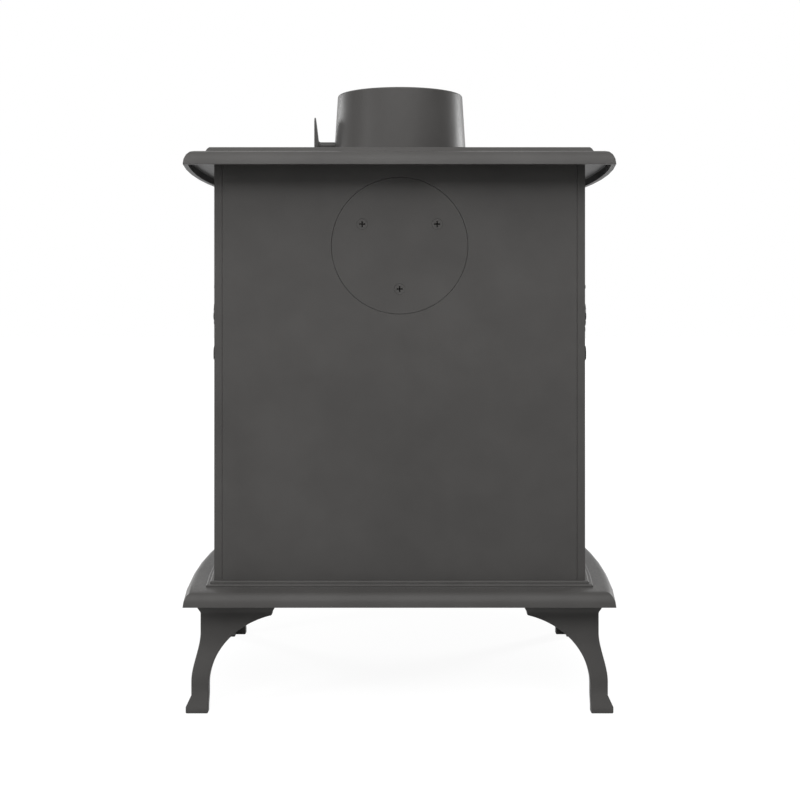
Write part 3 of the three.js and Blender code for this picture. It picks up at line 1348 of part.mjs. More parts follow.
function airwashKnob() {
  const rootY = frontY - AIRWASH_KNOB_STAND_OFF;
  const tipY = rootY - AIRWASH_KNOB_HEIGHT;
  const radius = AIRWASH_KNOB_RADIUS;
  const profile = [
    [0, tipY],
    [radius - OVERRUN, tipY],
    [radius, tipY + OVERRUN],
    [radius, rootY - OVERRUN],
    [AIRWASH_STEM_RADIUS, rootY],
    [AIRWASH_STEM_RADIUS, airwashY + AIRWASH_PLATE_WALL],
    [0, airwashY + AIRWASH_PLATE_WALL],
  ];
  return alongY(turned(profile, SMALL_CIRCLE), 0, airwashZ);
}

// Grate frame: air slots at both sides and a rebated hole for the riddling disc
function notchedPlan(halfWidth, frontEnd) {
  const sides = [[halfWidth, frontEnd], [halfWidth, grateRearY]];
  const right = [...sides, [tailHalfWidth, grateRearY], [tailHalfWidth, tailRearY]];
  return [...right, ...right.map(([x, y]) => [-x, y]).reverse()];
}

function grateFrame() {
  const plate = prism(notchedPlan(grateHalfWidth, grateFrontY), grateZ, grateTopZ);
  const through = rod(discRadius - DISC_SEAT_WIDTH, grateZ - OVERRUN, grateTopZ, LARGE_CIRCLE);
  const rebate = rod(discRadius + RUN_GAP, discZ - GAP, grateTopZ + OVERRUN, LARGE_CIRCLE);
  const half = GRATE_SLOT_WIDTH / 2;
  const ends = [grateFrontY + GRATE_SLOT_FROM_END, grateRearY - GRATE_SLOT_FROM_END];
  const slots = [];
  const lastX = grateHalfWidth - GRATE_SLOT_FROM_SIDE;
  for (let x = discRadius + GRATE_SLOT_FROM_DISC; x < lastX; x += GRATE_SLOT_PITCH) {
    slots.push(box(x - half, x + half, ...ends, grateZ - OVERRUN, grateTopZ + OVERRUN));
  }
  const mirrored = slots.map((slot) => slot.mirror([1, 0, 0]));
  return cut(plate, at(through, 0, grateMidY), at(rebate, 0, grateMidY), ...slots, ...mirrored);
}

// Riddling disc: slots like spokes, and a pin below that the rod's eye turns it by
function grateDisc() {
  const half = DISC_SLOT_WIDTH / 2;
  const ends = DISC_SLOT_SHARES.map((share) => share * discRadius);
  const [innerStart, innerEnd, outerStart, outerEnd] = ends;
  const slots = Array.from({ length: DISC_SPOKES }, (_, i) => {
    const turn = DISC_SLOT_TURN + (i * 360) / DISC_SPOKES;
    const spoke = (r0, r1) =>
      box(r0, r1, -half, half, discZ - OVERRUN, grateTopZ + OVERRUN).rotate([0, 0, turn]);
    const outer = spoke(outerStart, outerEnd);
    return i % 2 ? [outer] : [outer, spoke(innerStart, innerEnd)];
  });
  const disc = cut(rod(discRadius, discZ, grateTopZ, LARGE_CIRCLE), ...slots.flat());
  const pin = rod(RIDDLE_PIN_RADIUS, discZ - RIDDLE_PIN_LENGTH, discZ + WELD, SMALL_CIRCLE);
  return join(at(disc, 0, grateMidY), at(pin, pinX, pinY));
}

function riddlingRod() {
  const half = ROD_EYE_HALF_WIDTH;
  const tall = ROD_EYE_WALL / 2;
  const endY = pinY + ROD_EYE_END;
  const startY = pinY - ROD_EYE_END;
  const eye = box(rodX - half, rodX + half, startY, endY, rodZ - tall, rodZ + tall);
  const slotX = RIDDLE_PIN_RADIUS + GAP + (pinCircle - pinX) / 2;
  const slotY = RIDDLE_PIN_RADIUS + GAP;
  const slot = box(
    rodX - slotX, rodX + slotX, pinY - slotY, pinY + slotY, rodZ - 2 * tall, rodZ + 2 * tall,
  );
  const tipY = frontY - ROD_STAND_OFF + ROD_KNOB_LENGTH / 2;
  const shank = rod(ROD_RADIUS, tipY, startY + WELD, MEDIUM_CIRCLE / 2);
  return join(cut(eye, slot), alongY(shank, rodX, rodZ));
}

function riddlingKnob() {
  const tipY = frontY - ROD_STAND_OFF;
  const rootY = tipY + ROD_KNOB_LENGTH;
  const half = ROD_KNOB_LENGTH / 2;
  const round = arcPoints(
    0, tipY + half, ROD_KNOB_RADIUS, half, -Math.PI / 2, Math.PI / 4, KNOB_FACETS,
  );
  const neck = ROD_RADIUS + OVERRUN;
  const knob = turned([...round, [neck, rootY], [0, rootY]], MEDIUM_CIRCLE / 2);
  const hole = rod(ROD_RADIUS + GAP, tipY + half - GAP, rootY + OVERRUN, MEDIUM_CIRCLE / 2);
  return alongY(cut(knob, hole), rodX, rodZ);
}

// Log guard: two rails and the bars between them
function logGuard() {
  const y0 = grateFrontY + GUARD_FROM_GRATE_EDGE;
  const half = brickInnerX - GUARD_FROM_BRICK;
  const low = brickZ + GUARD_RAIL;
  const high = brickZ + GUARD_HEIGHT - GUARD_RAIL;
  const pitch = (2 * half - GUARD_BAR_WIDTH) / (GUARD_BARS - 1);
  const gaps = Array.from({ length: GUARD_BARS - 1 }, (_, i) => {
    const x = GUARD_BAR_WIDTH - half + i * pitch;
    return box(x, x + pitch - GUARD_BAR_WIDTH, y0 - OVERRUN, y0 + GUARD_WALL + OVERRUN, low, high);
  });
  return cut(box(-half, half, y0, y0 + GUARD_WALL, brickZ, brickZ + GUARD_HEIGHT), ...gaps);
}

// Fire bricks with chamfered edges, and the baffle that lies on them
function chamferedPlan(x0, x1, y0, y1, c) {
  return [
    [x0 + c, y0], [x1 - c, y0], [x1, y0 + c], [x1, y1 - c],
    [x1 - c, y1], [x0 + c, y1], [x0, y1 - c], [x0, y0 + c],
  ];
}

function sideBrick() {
  const plan = chamferedPlan(brickInnerX, brickOuterX, grateFrontY, brickRearY, BRICK_CHAMFER);
  return prism(plan, brickZ, brickTopZ);
}

function rearBrick() {
  const half = tailHalfWidth;
  const plan = chamferedPlan(-half, half, brickRearY + GAP, tailRearY, BRICK_CHAMFER);
  return prism(plan, brickZ, brickTopZ);
}

function bafflePlate() {
  const z = brickTopZ + GAP;
  const y = grateFrontY + BAFFLE_FROM_BRICK_FRONT;
  const half = PLATE_HALF_WIDTH - BAFFLE_SIDE_INSET;
  const plate = prism(notchedPlan(half, y), z, z + BAFFLE_WALL);
  const lip = [
    [y, z],
    [y + BAFFLE_WALL, z],
    [y + BAFFLE_WALL + BAFFLE_LIP_RUN, z + BAFFLE_LIP_RISE],
    [y + BAFFLE_LIP_RUN, z + BAFFLE_LIP_RISE],
  ];
  return join(plate, prism(lip, -half, half, inSide));
}

// Finishes
const finish = (color, roughness, metalness) =>
  new THREE.MeshStandardMaterial({ color, roughness, metalness });
const stovePaint = finish(0x4a4947, 0.72, 0.1);
const bareIron = finish(0x3a3836, 0.8, 0.3);
const fireBrick = finish(0xc9b48f, 0.95, 0);
const sealRope = finish(0x55524d, 0.95, 0);
const steel = finish(0x8a8a88, 0.4, 0.9);
const ceramicGlass = new THREE.MeshStandardMaterial({
  color: 0x8c7a66, roughness: 0.08, metalness: 0, transparent: true, opacity: 0.35,
});

// The stove as a scene graph: one named mesh for each piece, grouped as it is put together
function piece(name, made, material) {
  const mesh = new THREE.Mesh(geometryOf(made), material);
  mesh.geometry.computeVertexNormals();
  mesh.name = name;
  return mesh;
}

function group(...members) {
  const made = new THREE.Group();
  if (members.length) made.add(...members);
  return made;
}

const shell = group(
  piece("base_plate", basePlate(), stovePaint),
  piece("top_plate", topPlate(), stovePaint),
  piece("back_panel", backPanel(), stovePaint),
  piece("front_frame", frontFrame(), stovePaint),
);
for (const [side, sx] of [["right", 1], ["left", -1]]) {
  const panel = piece("side_panel_" + side, sidePanel(), stovePaint);
  panel.scale.x = sx;
  const brick = piece("brick_" + side, sideBrick(), fireBrick);
  brick.scale.x = sx;
  shell.add(panel, brick);
}

const outlet = group(piece("blanking_plate", blankingPlate(), stovePaint));
atOutletScrews(blankingScrew()).forEach((screw, i) => {
  outlet.add(piece("blanking_screw_" + (i + 1), screw, stovePaint));
});

const flue = group(
  piece("flue_collar", flueCollar(), stovePaint),
  piece("damper_disc", damperDisc(), bareIron),
  piece("damper_spindle", damperSpindle(), stovePaint),
);
screwAngles.forEach((angle, i) => {
  flue.add(piece("collar_screw_" + (i + 1), collarScrew(angle), steel));
});

const undercarriage = group();
for (const [corner, sx, sy] of corners) {
  const foot = group(
    piece("leg_" + corner, leg(), stovePaint),
    piece("leg_bolt_" + corner, legBolt(), steel),
  );
  foot.position.set(sx * legX, yMid + sy * legY, 0);
  foot.scale.set(sx, sy, 1);
  const tie = piece("tie_bolt_" + corner, tieBolt(), steel);
  tie.position.set(sx * tieX, yMid + sy * tieY, 0);
  undercarriage.add(foot, tie);
}

const door = group(
  piece("fire_door", fireDoor(), stovePaint),
  piece("door_glass", doorGlass(), ceramicGlass),
  piece("glass_gasket", glassGasket(), sealRope),
  piece("door_rope", doorRope(), sealRope),
  piece("door_handle", doorHandle(), stovePaint),
  piece("door_latch", doorLatch(), bareIron),
);
clipPlaces.forEach((place, i) => {
  door.add(piece("glass_clip_" + (i + 1), glassClip(place), steel));
  door.add(piece("clip_screw_" + (i + 1), clipScrew(place), steel));
});
const hinges = group(
  piece("hinge_pin_bottom", hingePin(hingeZs[0]), steel),
  piece("hinge_pin_top", hingePin(hingeZs[1]), steel),
);

const ashDrawer = group(
  piece("ash_drawer_front", ashDrawerFront(), stovePaint),
  piece("ash_pan", ashPan(), steel),
  piece("air_wheel", airWheel(), stovePaint),
  piece("air_wheel_stud", airWheelStud(), steel),
);
const airwash = group(
  piece("airwash_slide", airwashSlide(), bareIron),
  piece("airwash_knob", airwashKnob(), steel),
);
const fireBed = group(
  piece("grate_frame", grateFrame(), bareIron),
  piece("grate_disc", grateDisc(), bareIron),
  piece("riddling_rod", riddlingRod(), steel),
  piece("riddling_knob", riddlingKnob(), steel),
  piece("log_guard", logGuard(), bareIron),
  piece("brick_rear", rearBrick(), fireBrick),
  piece("baffle_plate", bafflePlate(), bareIron),
);

const stove = group(shell, outlet, flue, undercarriage, door, hinges, ashDrawer, airwash, fireBed);
export default stove;
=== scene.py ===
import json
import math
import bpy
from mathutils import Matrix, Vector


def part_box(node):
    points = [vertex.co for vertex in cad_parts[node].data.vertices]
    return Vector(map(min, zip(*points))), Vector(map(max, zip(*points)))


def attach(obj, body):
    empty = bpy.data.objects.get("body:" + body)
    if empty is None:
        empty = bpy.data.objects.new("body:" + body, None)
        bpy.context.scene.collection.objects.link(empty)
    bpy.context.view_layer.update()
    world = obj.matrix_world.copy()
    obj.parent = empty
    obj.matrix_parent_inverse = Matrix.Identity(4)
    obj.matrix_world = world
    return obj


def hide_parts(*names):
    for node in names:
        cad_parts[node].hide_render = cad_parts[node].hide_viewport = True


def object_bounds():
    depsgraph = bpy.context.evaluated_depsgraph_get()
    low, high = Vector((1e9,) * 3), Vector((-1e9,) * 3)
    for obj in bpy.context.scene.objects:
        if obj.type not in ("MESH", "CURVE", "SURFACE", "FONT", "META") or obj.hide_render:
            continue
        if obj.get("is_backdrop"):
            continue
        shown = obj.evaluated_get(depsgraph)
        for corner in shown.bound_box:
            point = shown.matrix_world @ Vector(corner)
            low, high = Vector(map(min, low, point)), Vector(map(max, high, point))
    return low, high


bl_info = {
    "name": "Cast iron stove",
    "version": (1, 0, 0),
    "blender": (4, 5, 0),
    "location": "3D View > Sidebar > Stove",
    "description": "Pieces and finishes of a small cast iron stove, and its studio",
    "category": "Add Mesh",
}

import bmesh
import bpy
from mathutils import Vector
from mathutils.bvhtree import BVHTree

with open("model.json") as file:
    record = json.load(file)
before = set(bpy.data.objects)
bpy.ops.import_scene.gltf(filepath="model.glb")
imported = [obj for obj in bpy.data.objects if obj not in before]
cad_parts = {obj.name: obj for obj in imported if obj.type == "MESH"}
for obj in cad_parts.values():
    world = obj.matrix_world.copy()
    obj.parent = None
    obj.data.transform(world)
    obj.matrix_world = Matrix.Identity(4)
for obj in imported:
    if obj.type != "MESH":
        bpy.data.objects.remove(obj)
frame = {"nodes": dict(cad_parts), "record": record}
cad_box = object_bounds()

MM = 0.001
# How close points are merged, count as one place or count as near, and how far forms overlap
MERGE = 1e-6
CLOSE = 2e-5
NEAR = 1 * MM
OVERLAP = 1 * MM
TURN = 2 * math.pi
FLAT_ANGLE = math.radians(0.6)
BEVEL_ANGLE = math.radians(28)
X, Y, Z = Vector((1, 0, 0)), Vector((0, 1, 0)), Vector((0, 0, 1))

# Facets of the circles in the frame's solids, and how wide a chord may be, as a share of an even one
LARGE_CIRCLE = 32
MEDIUM_CIRCLE = 16
CHORD_SHARE = 1.02


def middle_of(node):
    low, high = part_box(node)
    return (Vector(low) + Vector(high)) / 2


def numbered(name, count):
    """The names of nodes that are counted from one."""
    return [f"{name}_{i + 1}" for i in range(count)]


# Places taken from the frame
collar_middle = middle_of("flue_collar")
outlet_middle = middle_of("blanking_plate")
damper_middle = middle_of("damper_disc")
wheel_middle = middle_of("air_wheel")


# Settings that a user would change


def length(name, description, millimetres):
    """A length that can be set, with its default given in millimetres."""
    return bpy.props.FloatProperty(
        name=name, description=description, unit="LENGTH", min=0, default=millimetres * MM
    )


def colour(name, description, default):
    return bpy.props.FloatVectorProperty(
        name=name, description=description, subtype="COLOR", size=3, min=0, max=1, default=default
    )


class StoveFinishes(bpy.types.PropertyGroup):
    """Colours and roughness of the finishes"""

    paint_color: colour("Paint", "Colour of the stove paint", (0.050, 0.0485, 0.047))
    paint_roughness: bpy.props.FloatProperty(
        name="Paint roughness", description="How matt the stove paint is",
        subtype="FACTOR", min=0, max=1, default=0.40,
    )
    iron_color: colour("Bare iron", "Colour of the unpainted castings", (0.052, 0.046, 0.042))
    steel_color: colour("Steel", "Colour of the steel pieces", (0.16, 0.155, 0.15))
    brick_color: colour("Fire brick", "Colour of the fire bricks", (0.50, 0.37, 0.22))
    rope_color: colour("Seal rope", "Colour of the rope seals", (0.10, 0.095, 0.088))
    glass_color: colour("Glass", "Tint of the ceramic glass", (0.52, 0.49, 0.45))


class StoveEdges(bpy.types.PropertyGroup):
    """How far the edges of each kind of piece are rounded"""

    casting: length("Castings", "Rounding of cast edges", 0.7)
    plate: length("Plates", "Rounding of the edges of the top and base plates", 0.9)
    leg: length("Legs", "Rounding of the legs' edges", 1.2)
    seam: length("Seams", "Rounding where two castings meet in one face", 0.15)
    corner: length("Corners", "Rounding of the body's outer corners", 2.2)
    steel: length("Steel", "Rounding of turned and pressed edges", 0.35)
    brick: length("Bricks", "Rounding of the fire bricks' edges", 1.0)
    sheet: length("Sheet", "Rounding of sheet metal edges", 0.25)


class StoveLegs(bpy.types.PropertyGroup):
    """The rule that the cabriole legs are drawn by"""

    wall: length("Wall", "Thickness of the wings", 11)
    foot: length("Foot", "Height of the foot's block", 6.3)
    spread: length("Spread", "How far the feet stand out past the frame's", 0.5)
    bevel_width: length("Bevel width", "How far the foot's bevel draws in", 4.9)
    bevel_height: length("Bevel height", "Height of the foot's bevel", 10.6)
    ankle: length("Ankle", "Height where the leg starts to lean in", 31)
    knee: length("Knee", "Height where the leg stops leaning in", 78.5)
    knee_inset: length("Knee inset", "How far the knee lies inside the foot", 13)
    shank: length("Shank", "Width of the shank", 22.6)
    arch_start: length("Arch start", "Height where the arch starts", 27)
    arch_width: length("Arch width", "Width of the arch's quarter ellipse", 88)
    arch_rise: length("Arch rise", "Height of the arch's quarter ellipse", 72)
    wing: length("Wing", "Length of a wing at its top", 86)
    cap: length("Cap", "Height of the cap", 10.5)
    flare: length("Flare", "How far the cap stands out", 3)
    flange_wall: length("Flange wall", "Thickness of the bolted flange", 8.4)
    flange_reach: length("Flange reach", "How far the flange runs in", 33.4)


class StoveCollar(bpy.types.PropertyGroup):
    """The turned flue collar and the lugs in its foot"""

    root: length("Root radius", "Outer radius at the foot", 72.5)
    rim: length("Rim radius", "Outer radius under the rim", 68.4)
    bore: length("Bore radius", "Radius of the bore", 62.5)
    rim_round: length("Rim rounding", "Rounding of the rim", 2)
    lug_circle: length("Screw circle", "Radius of the circle of screws", 58)
    lug_radius: length("Lug radius", "Radius of a lug's tip", 6.2)
    lug_wall: length("Lug wall", "Thickness of a lug", 6)


class StoveOrnament(bpy.types.PropertyGroup):
    """The cast ornament on the sides"""

    rosette_height: length("Rosette height", "Height of the rosettes above the floor", 405.4)
    rosette_reach: length("Rosette reach", "From the side's middle to a rosette", 96)
    sag: length("Sag", "How far the festoon hangs below its rosettes", 55)
    drop_fall: length("Drop fall", "From a rosette down to its drop", 44)
    leaf: length("Leaf", "Length of the longest leaves of the festoon", 15)
    leaf_width: length("Leaf row width", "Width of the rows of leaves at the festoon's middle", 9)
    petal: length("Petal", "Length of a rosette's petals", 7.5)
    leaf_relief: bpy.props.FloatProperty(
        name="Leaf relief", description="How far a leaf is raised, as a share of its length",
        subtype="FACTOR", min=0, max=1, default=0.1,
    )
    petal_relief: bpy.props.FloatProperty(
        name="Petal relief", description="How far a petal is raised, as a share of its length",
        subtype="FACTOR", min=0, max=1, default=0.03,
    )
    splay: bpy.props.FloatProperty(
        name="Splay", description="How far the leaves turn out", unit="ROTATION",
        default=math.radians(32),
    )
    rows: bpy.props.IntProperty(
        name="Rows", description="Rows of leaves along a festoon", min=2, default=24
    )
    petals: bpy.props.IntProperty(
        name="Petals", description="Petals of a rosette", min=3, default=8
    )


class StoveFasteners(bpy.types.PropertyGroup):
    """Sizes of the bolts and screws"""

    bolt_head: length("Bolt head", "From a bolt's axis to a corner of its head", 7.5)
    bolt_height: length("Bolt head height", "Height of a bolt's head", 5.5)
    bolt_shank: length("Bolt shank", "Radius of a bolt's shank", 4)
    collar_head: length("Collar screw head", "Radius of a collar screw's head", 4.2)
    collar_height: length("Collar screw height", "Height of a collar screw's head", 3.2)
    collar_shank: length("Collar screw shank", "Radius of a collar screw's shank", 2.5)
    collar_length: length("Collar screw length", "Length of a collar screw's shank", 14)
    clip_head: length("Clip screw head", "Radius of a clip screw's head", 4)
    clip_height: length("Clip screw height", "Height of a clip screw's head", 2.4)
    clip_shank: length("Clip screw shank", "Radius of a clip screw's shank", 2)
    recess: length("Recess", "Width of the cross recess in a screw's head", 4.2)
    cross_depth: length("Cross depth", "Depth of the cross in a blanking screw", 6)


class StoveRope(bpy.types.PropertyGroup):
    """The braid of the rope seals"""

    strand: length("Strand", "Radius of a strand", 1.5)
    lay: length("Lay", "Length in which a strand goes once round", 26)
    strands: bpy.props.IntProperty(
        name="Strands", description="Strands that run each way round", min=1, default=4
    )
    half_width: length("Half width", "Half the width of the door's groove", 5)
    corner: length("Corner", "Radius in which the door's rope turns a corner", 10)
    step: length("Step", "Length of the pieces that the strands are drawn in", 1.3)


class StoveStudio(bpy.types.PropertyGroup):
    """Camera and lamps"""

    camera_distance: length("Camera distance", "From the rear of the plates to the camera", 1300)
    camera_height: length("Camera height", "Height of the camera above the floor", 419.6)
    camera_side: bpy.props.FloatProperty(
        name="Camera side step", description="How far the camera stands to the side",
        unit="LENGTH", default=-6.6 * MM,
    )
    lens: bpy.props.FloatProperty(
        name="Lens", description="Focal length", unit="CAMERA", min=1, default=58.5,
    )
    shift: bpy.props.FloatVectorProperty(
        name="Lens shift", description="Shift of the frame to the side and up", size=2,
        default=(-0.0076, -0.1275),
    )
    ambient: bpy.props.FloatProperty(
        name="Ambient light", description="Strength of the light from all round", min=0, default=0.08,
    )


# Meshes


def new_object(name, mesh):
    made = bpy.data.objects.new(name, mesh)
    bpy.context.scene.collection.objects.link(made)
    return made


def mesh_of(bm, name):
    mesh = bpy.data.meshes.new(name)
    bm.to_mesh(mesh)
    bm.free()
    return mesh


def merged_copy(node):
    """The mesh of a CAD node with its loose triangles merged into clean faces."""
    bm = bmesh.new()
    bm.from_mesh(frame["nodes"][node].data)
    bmesh.ops.remove_doubles(bm, verts=bm.verts, dist=MERGE)
    bmesh.ops.dissolve_limit(
        bm, angle_limit=FLAT_ANGLE, use_dissolve_boundaries=False, verts=bm.verts, edges=bm.edges
    )
    bmesh.ops.connect_verts_concave(bm, faces=bm.faces)
    return bm


def about(centre, axis):
    """How far a point lies along an axis, and its way out from it."""

    def split(point):
        off = point - centre
        along = off.dot(axis)
        return along, off - along * axis

    return split


def refine_circles(bm, centre, axis, facets, parts=4):
    """Turns the chords of circles round an axis into arcs of shorter chords."""
    split = about(centre, axis)
    widest = TURN / facets * CHORD_SHARE
    radius = bm.verts.layers.float.new("radius")
    chords = []
    for edge in bm.edges:
        (h0, r0), (h1, r1) = (split(vert.co) for vert in edge.verts)
        if abs(h0 - h1) > CLOSE or abs(r0.length - r1.length) > CLOSE or r0.length < NEAR:
            continue
        if CLOSE < r0.angle(r1) < widest:
            chords.append(edge)
            for vert, out in zip(edge.verts, (r0, r1)):
                vert[radius] = out.length
    old = set(bm.verts)
    bmesh.ops.subdivide_edges(bm, edges=chords, cuts=parts - 1, use_grid_fill=True)
    for vert in bm.verts:
        if vert not in old and vert[radius] > NEAR:
            along, out = split(vert.co)
            vert.co = centre + along * axis + out.normalized() * vert[radius]
    bm.verts.layers.float.remove(radius)


def round_edges(made, width, segments=3, share_at=None):
    """Rounds the sharp edges, less where a share is given, and keeps the flat faces flat."""
    bm = bmesh.new()
    bm.from_mesh(made.data)
    weight = bm.edges.layers.float.new("bevel_weight_edge")
    for edge in bm.edges:
        if len(edge.link_faces) == 2 and edge.calc_face_angle() > BEVEL_ANGLE:
            middle = (edge.verts[0].co + edge.verts[1].co) / 2
            edge[weight] = share_at(middle) if share_at else 1
    for face in bm.faces:
        face.smooth = True
    bm.to_mesh(made.data)
    bm.free()
    bevel = made.modifiers.new("rounded edges", "BEVEL")
    bevel.width = width
    bevel.segments = segments
    bevel.limit_method = "WEIGHT"
    bevel.miter_outer = "MITER_ARC"
    normals = made.modifiers.new("flat faces", "WEIGHTED_NORMAL")
    normals.keep_sharp = True


def loft(bm, rings):
    """Skins rings of points and closes both ends."""
    rows = [[bm.verts.new(point) for point in ring] for ring in rings]
    for low, high in zip(rows, rows[1:]):
        for i, j in enumerate([*range(1, len(low)), 0]):
            bm.faces.new((low[i], low[j], high[j], high[i]))
    bm.faces.new(reversed(rows[0]))
    bm.faces.new(rows[-1])


def polyline(name, points):
    """A closed line of edges only, which a node tree takes as a path or an outline."""
    count = len(points)
    edges = [(i, (i + 1) % count) for i in range(count)]
    mesh = bpy.data.meshes.new(name)
    mesh.from_pydata([tuple(point) for point in points], edges, [])
    return mesh


def arc(cx, cy, rx, ry, start, end, steps):
    angles = (start + (end - start) * i / steps for i in range(steps + 1))
    return [(cx + rx * math.cos(a), cy + ry * math.sin(a)) for a in angles]


def rounded_rectangle(low, high, radius, steps):
    """An outline seen from the front, with round corners."""
    quarter = TURN / 4
    corners = (
        (high.x - radius, low.z + radius, -quarter),
        (high.x - radius, high.z - radius, 0),
        (low.x + radius, high.z - radius, quarter),
        (low.x + radius, low.z + radius, 2 * quarter),
    )
    return [point for x, z, a in corners for point in arc(x, z, radius, radius, a, a + quarter, steps)]


def dress(made, body, slot, *nodes):
    """Gives a finished piece its material and its body, and hides the CAD nodes that it stands for."""
    made.data.materials.clear()
    made.data.materials.append(finish(slot))
    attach(made, body)
    if nodes:
        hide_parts(*nodes)
    return made


def slot_of(node):
    for entry in frame["record"]["subparts"]:
        if entry["node"] == node:
            return entry["material_slot"]
    raise ValueError("no material slot for " + node)


def body_of(node):
    for body, nodes in frame["record"]["behaviour"]["bodies"].items():
        if node in nodes:
            return body
    raise ValueError("no body for " + node)


def softened(node, width, segments=3, circles=(), share_at=None, reshape=None):
    """A piece that stands for a CAD node, with round circles and with edges as the real one's."""
    bm = merged_copy(node)
    if reshape:
        reshape(bm)
    for centre, axis, facets in circles:
        refine_circles(bm, centre, axis, facets)
    made = new_object(node + "_fine", mesh_of(bm, node + "_fine"))
    round_edges(made, width, segments, share_at)
    return dress(made, body_of(node), slot_of(node), node)


# Node trees


def feed(tree, node, inputs):
    """Sets or links a node's inputs."""
    for name, value in inputs.items():
        if isinstance(value, bpy.types.NodeSocket):
            tree.links.new(value, node.inputs[name])
        else:
            node.inputs[name].default_value = value


def add(tree, kind, inputs=(), **settings):
    """A new node, with its settings and with its inputs set or linked."""
    node = tree.nodes.new(kind)
    for key, value in settings.items():
        setattr(node, key, value)
    feed(tree, node, dict(inputs))
    return node


def growing_tree(name, **inputs):
    """A node tree that makes geometry, with its inputs given by their kind."""
    tree = bpy.data.node_groups.new(name, "GeometryNodeTree")
    tree.interface.new_socket("Geometry", in_out="INPUT", socket_type="NodeSocketGeometry")
    for label, kind in inputs.items():
        tree.interface.new_socket(label, in_out="INPUT", socket_type="NodeSocket" + kind)
    tree.interface.new_socket("Material", in_out="INPUT", socket_type="NodeSocketMaterial")
    tree.interface.new_socket("Geometry", in_out="OUTPUT", socket_type="NodeSocketGeometry")
    return tree, tree.nodes.new("NodeGroupInput").outputs


def close_tree(tree, geometry, material):
    real = add(tree, "GeometryNodeRealizeInstances", {"Geometry": geometry})
    dressed = add(
        tree, "GeometryNodeSetMaterial", {"Geometry": real.outputs["Geometry"], "Material": material}
    )
    output = tree.nodes.new("NodeGroupOutput")
    tree.links.new(dressed.outputs["Geometry"], output.inputs["Geometry"])
    return tree


def grown(name, start, tree, **values):
    """A plain mesh object of what a tree grows on a starting mesh."""
    made = new_object(name, start)
    modifier = made.modifiers.new(tree.name, "NODES")
    modifier.node_group = tree
    for item in tree.interface.items_tree:
        if item.in_out == "INPUT" and item.name in values:
            modifier[item.identifier] = values[item.name]
    graph = bpy.context.evaluated_depsgraph_get()
    result = bpy.data.meshes.new_from_object(made.evaluated_get(graph), depsgraph=graph)
    made.modifiers.remove(modifier)
    made.data = result
    if not result.polygons:
        raise RuntimeError("nothing grew for " + name)
    for polygon in result.polygons:
        polygon.use_smooth = True
    return made


def maths(tree, operation, a, b=0):
    return add(tree, "ShaderNodeMath", {0: a, 1: b}, operation=operation).outputs[0]


def times(tree, a, b):
    return maths(tree, "MULTIPLY", a, b)


def vector(tree, operation, a, b=(0, 0, 0)):
    name = "Scale" if operation == "SCALE" else 1
    return add(tree, "ShaderNodeVectorMath", {0: a, name: b}, operation=operation).outputs["Vector"]


def xyz(tree, x=0, y=0, z=0):
    return add(tree, "ShaderNodeCombineXYZ", {"X": x, "Y": y, "Z": z}).outputs["Vector"]


def moved(tree, geometry, **inputs):
    return add(tree, "GeometryNodeTransform", {"Geometry": geometry, **inputs}).outputs["Geometry"]


def cylinder(tree, facets, radius, depth):
    sizes = {"Vertices": facets, "Radius": radius, "Depth": depth}
    return add(tree, "GeometryNodeMeshCylinder", sizes).outputs["Mesh"]


def ball(tree, radius, facets, rings):
    sizes = {"Segments": facets, "Rings": rings, "Radius": radius}
    return add(tree, "GeometryNodeMeshUVSphere", sizes).outputs["Mesh"]


def swept(tree, path, section):
    """A section curve drawn along a path curve."""
    curves = {"Curve": path, "Profile Curve": section}
    return add(tree, "GeometryNodeCurveToMesh", curves).outputs["Mesh"]


def circle(tree, facets, radius):
    sizes = {"Resolution": facets, "Radius": radius}
    return add(tree, "GeometryNodeCurvePrimitiveCircle", sizes).outputs["Curve"]


def joined(tree, *pieces):
    node = tree.nodes.new("GeometryNodeJoinGeometry")
    for piece in pieces:
        tree.links.new(piece, node.inputs["Geometry"])
    return node.outputs["Geometry"]


def boolean(tree, operation, first, *others):
    """A piece with others cut from it, or, with no first one, what the others have in common."""
    node = add(tree, "GeometryNodeMeshBoolean", operation=operation)
    if first is not None:
        tree.links.new(first, node.inputs["Mesh 1"])
    for other in others:
        tree.links.new(other, node.inputs["Mesh 2"])
    return node.outputs["Mesh"]


def set_out(tree, given, piece, **inputs):
    """Ends a tree with copies of a piece on the points that it is given."""
    points = {"Points": given["Geometry"], "Instance": piece, **inputs}
    copies = add(tree, "GeometryNodeInstanceOnPoints", points).outputs["Instances"]
    return close_tree(tree, copies, given["Material"])


def point_value(tree, name):
    return add(
        tree, "GeometryNodeInputNamedAttribute", {"Name": name}, data_type="FLOAT"
    ).outputs["Attribute"]


def turning_tree():
    """Turns an outline of radius and height round the upright axis."""
    tree, given = growing_tree("turned piece", Facets="Int")
    outline = add(tree, "GeometryNodeMeshToCurve", {"Mesh": given["Geometry"]}).outputs["Curve"]
    ring = swept(tree, circle(tree, given["Facets"], 1), outline)
    merged = add(tree, "GeometryNodeMergeByDistance", {"Geometry": ring, "Distance": MERGE})
    return close_tree(tree, merged.outputs["Geometry"], given["Material"])


def turned(name, outline, slot, facets=128):
    """A ring turned about the upright axis, from its outline of radius and height."""
    points = [(r - 1, -h, 0) for r, h in outline]
    return grown(
        name, polyline(name, points), turning_tree(), Facets=facets, Material=finish(slot)
    )


# A bolt's hexagon and the crown on it, as shares of the head's height and radius
HEXAGON_SHARE = 0.8
CROWN_FOOT_SHARE = 0.72
CROWN_TOP_SHARE = 0.84
SHANK_FACETS = 24


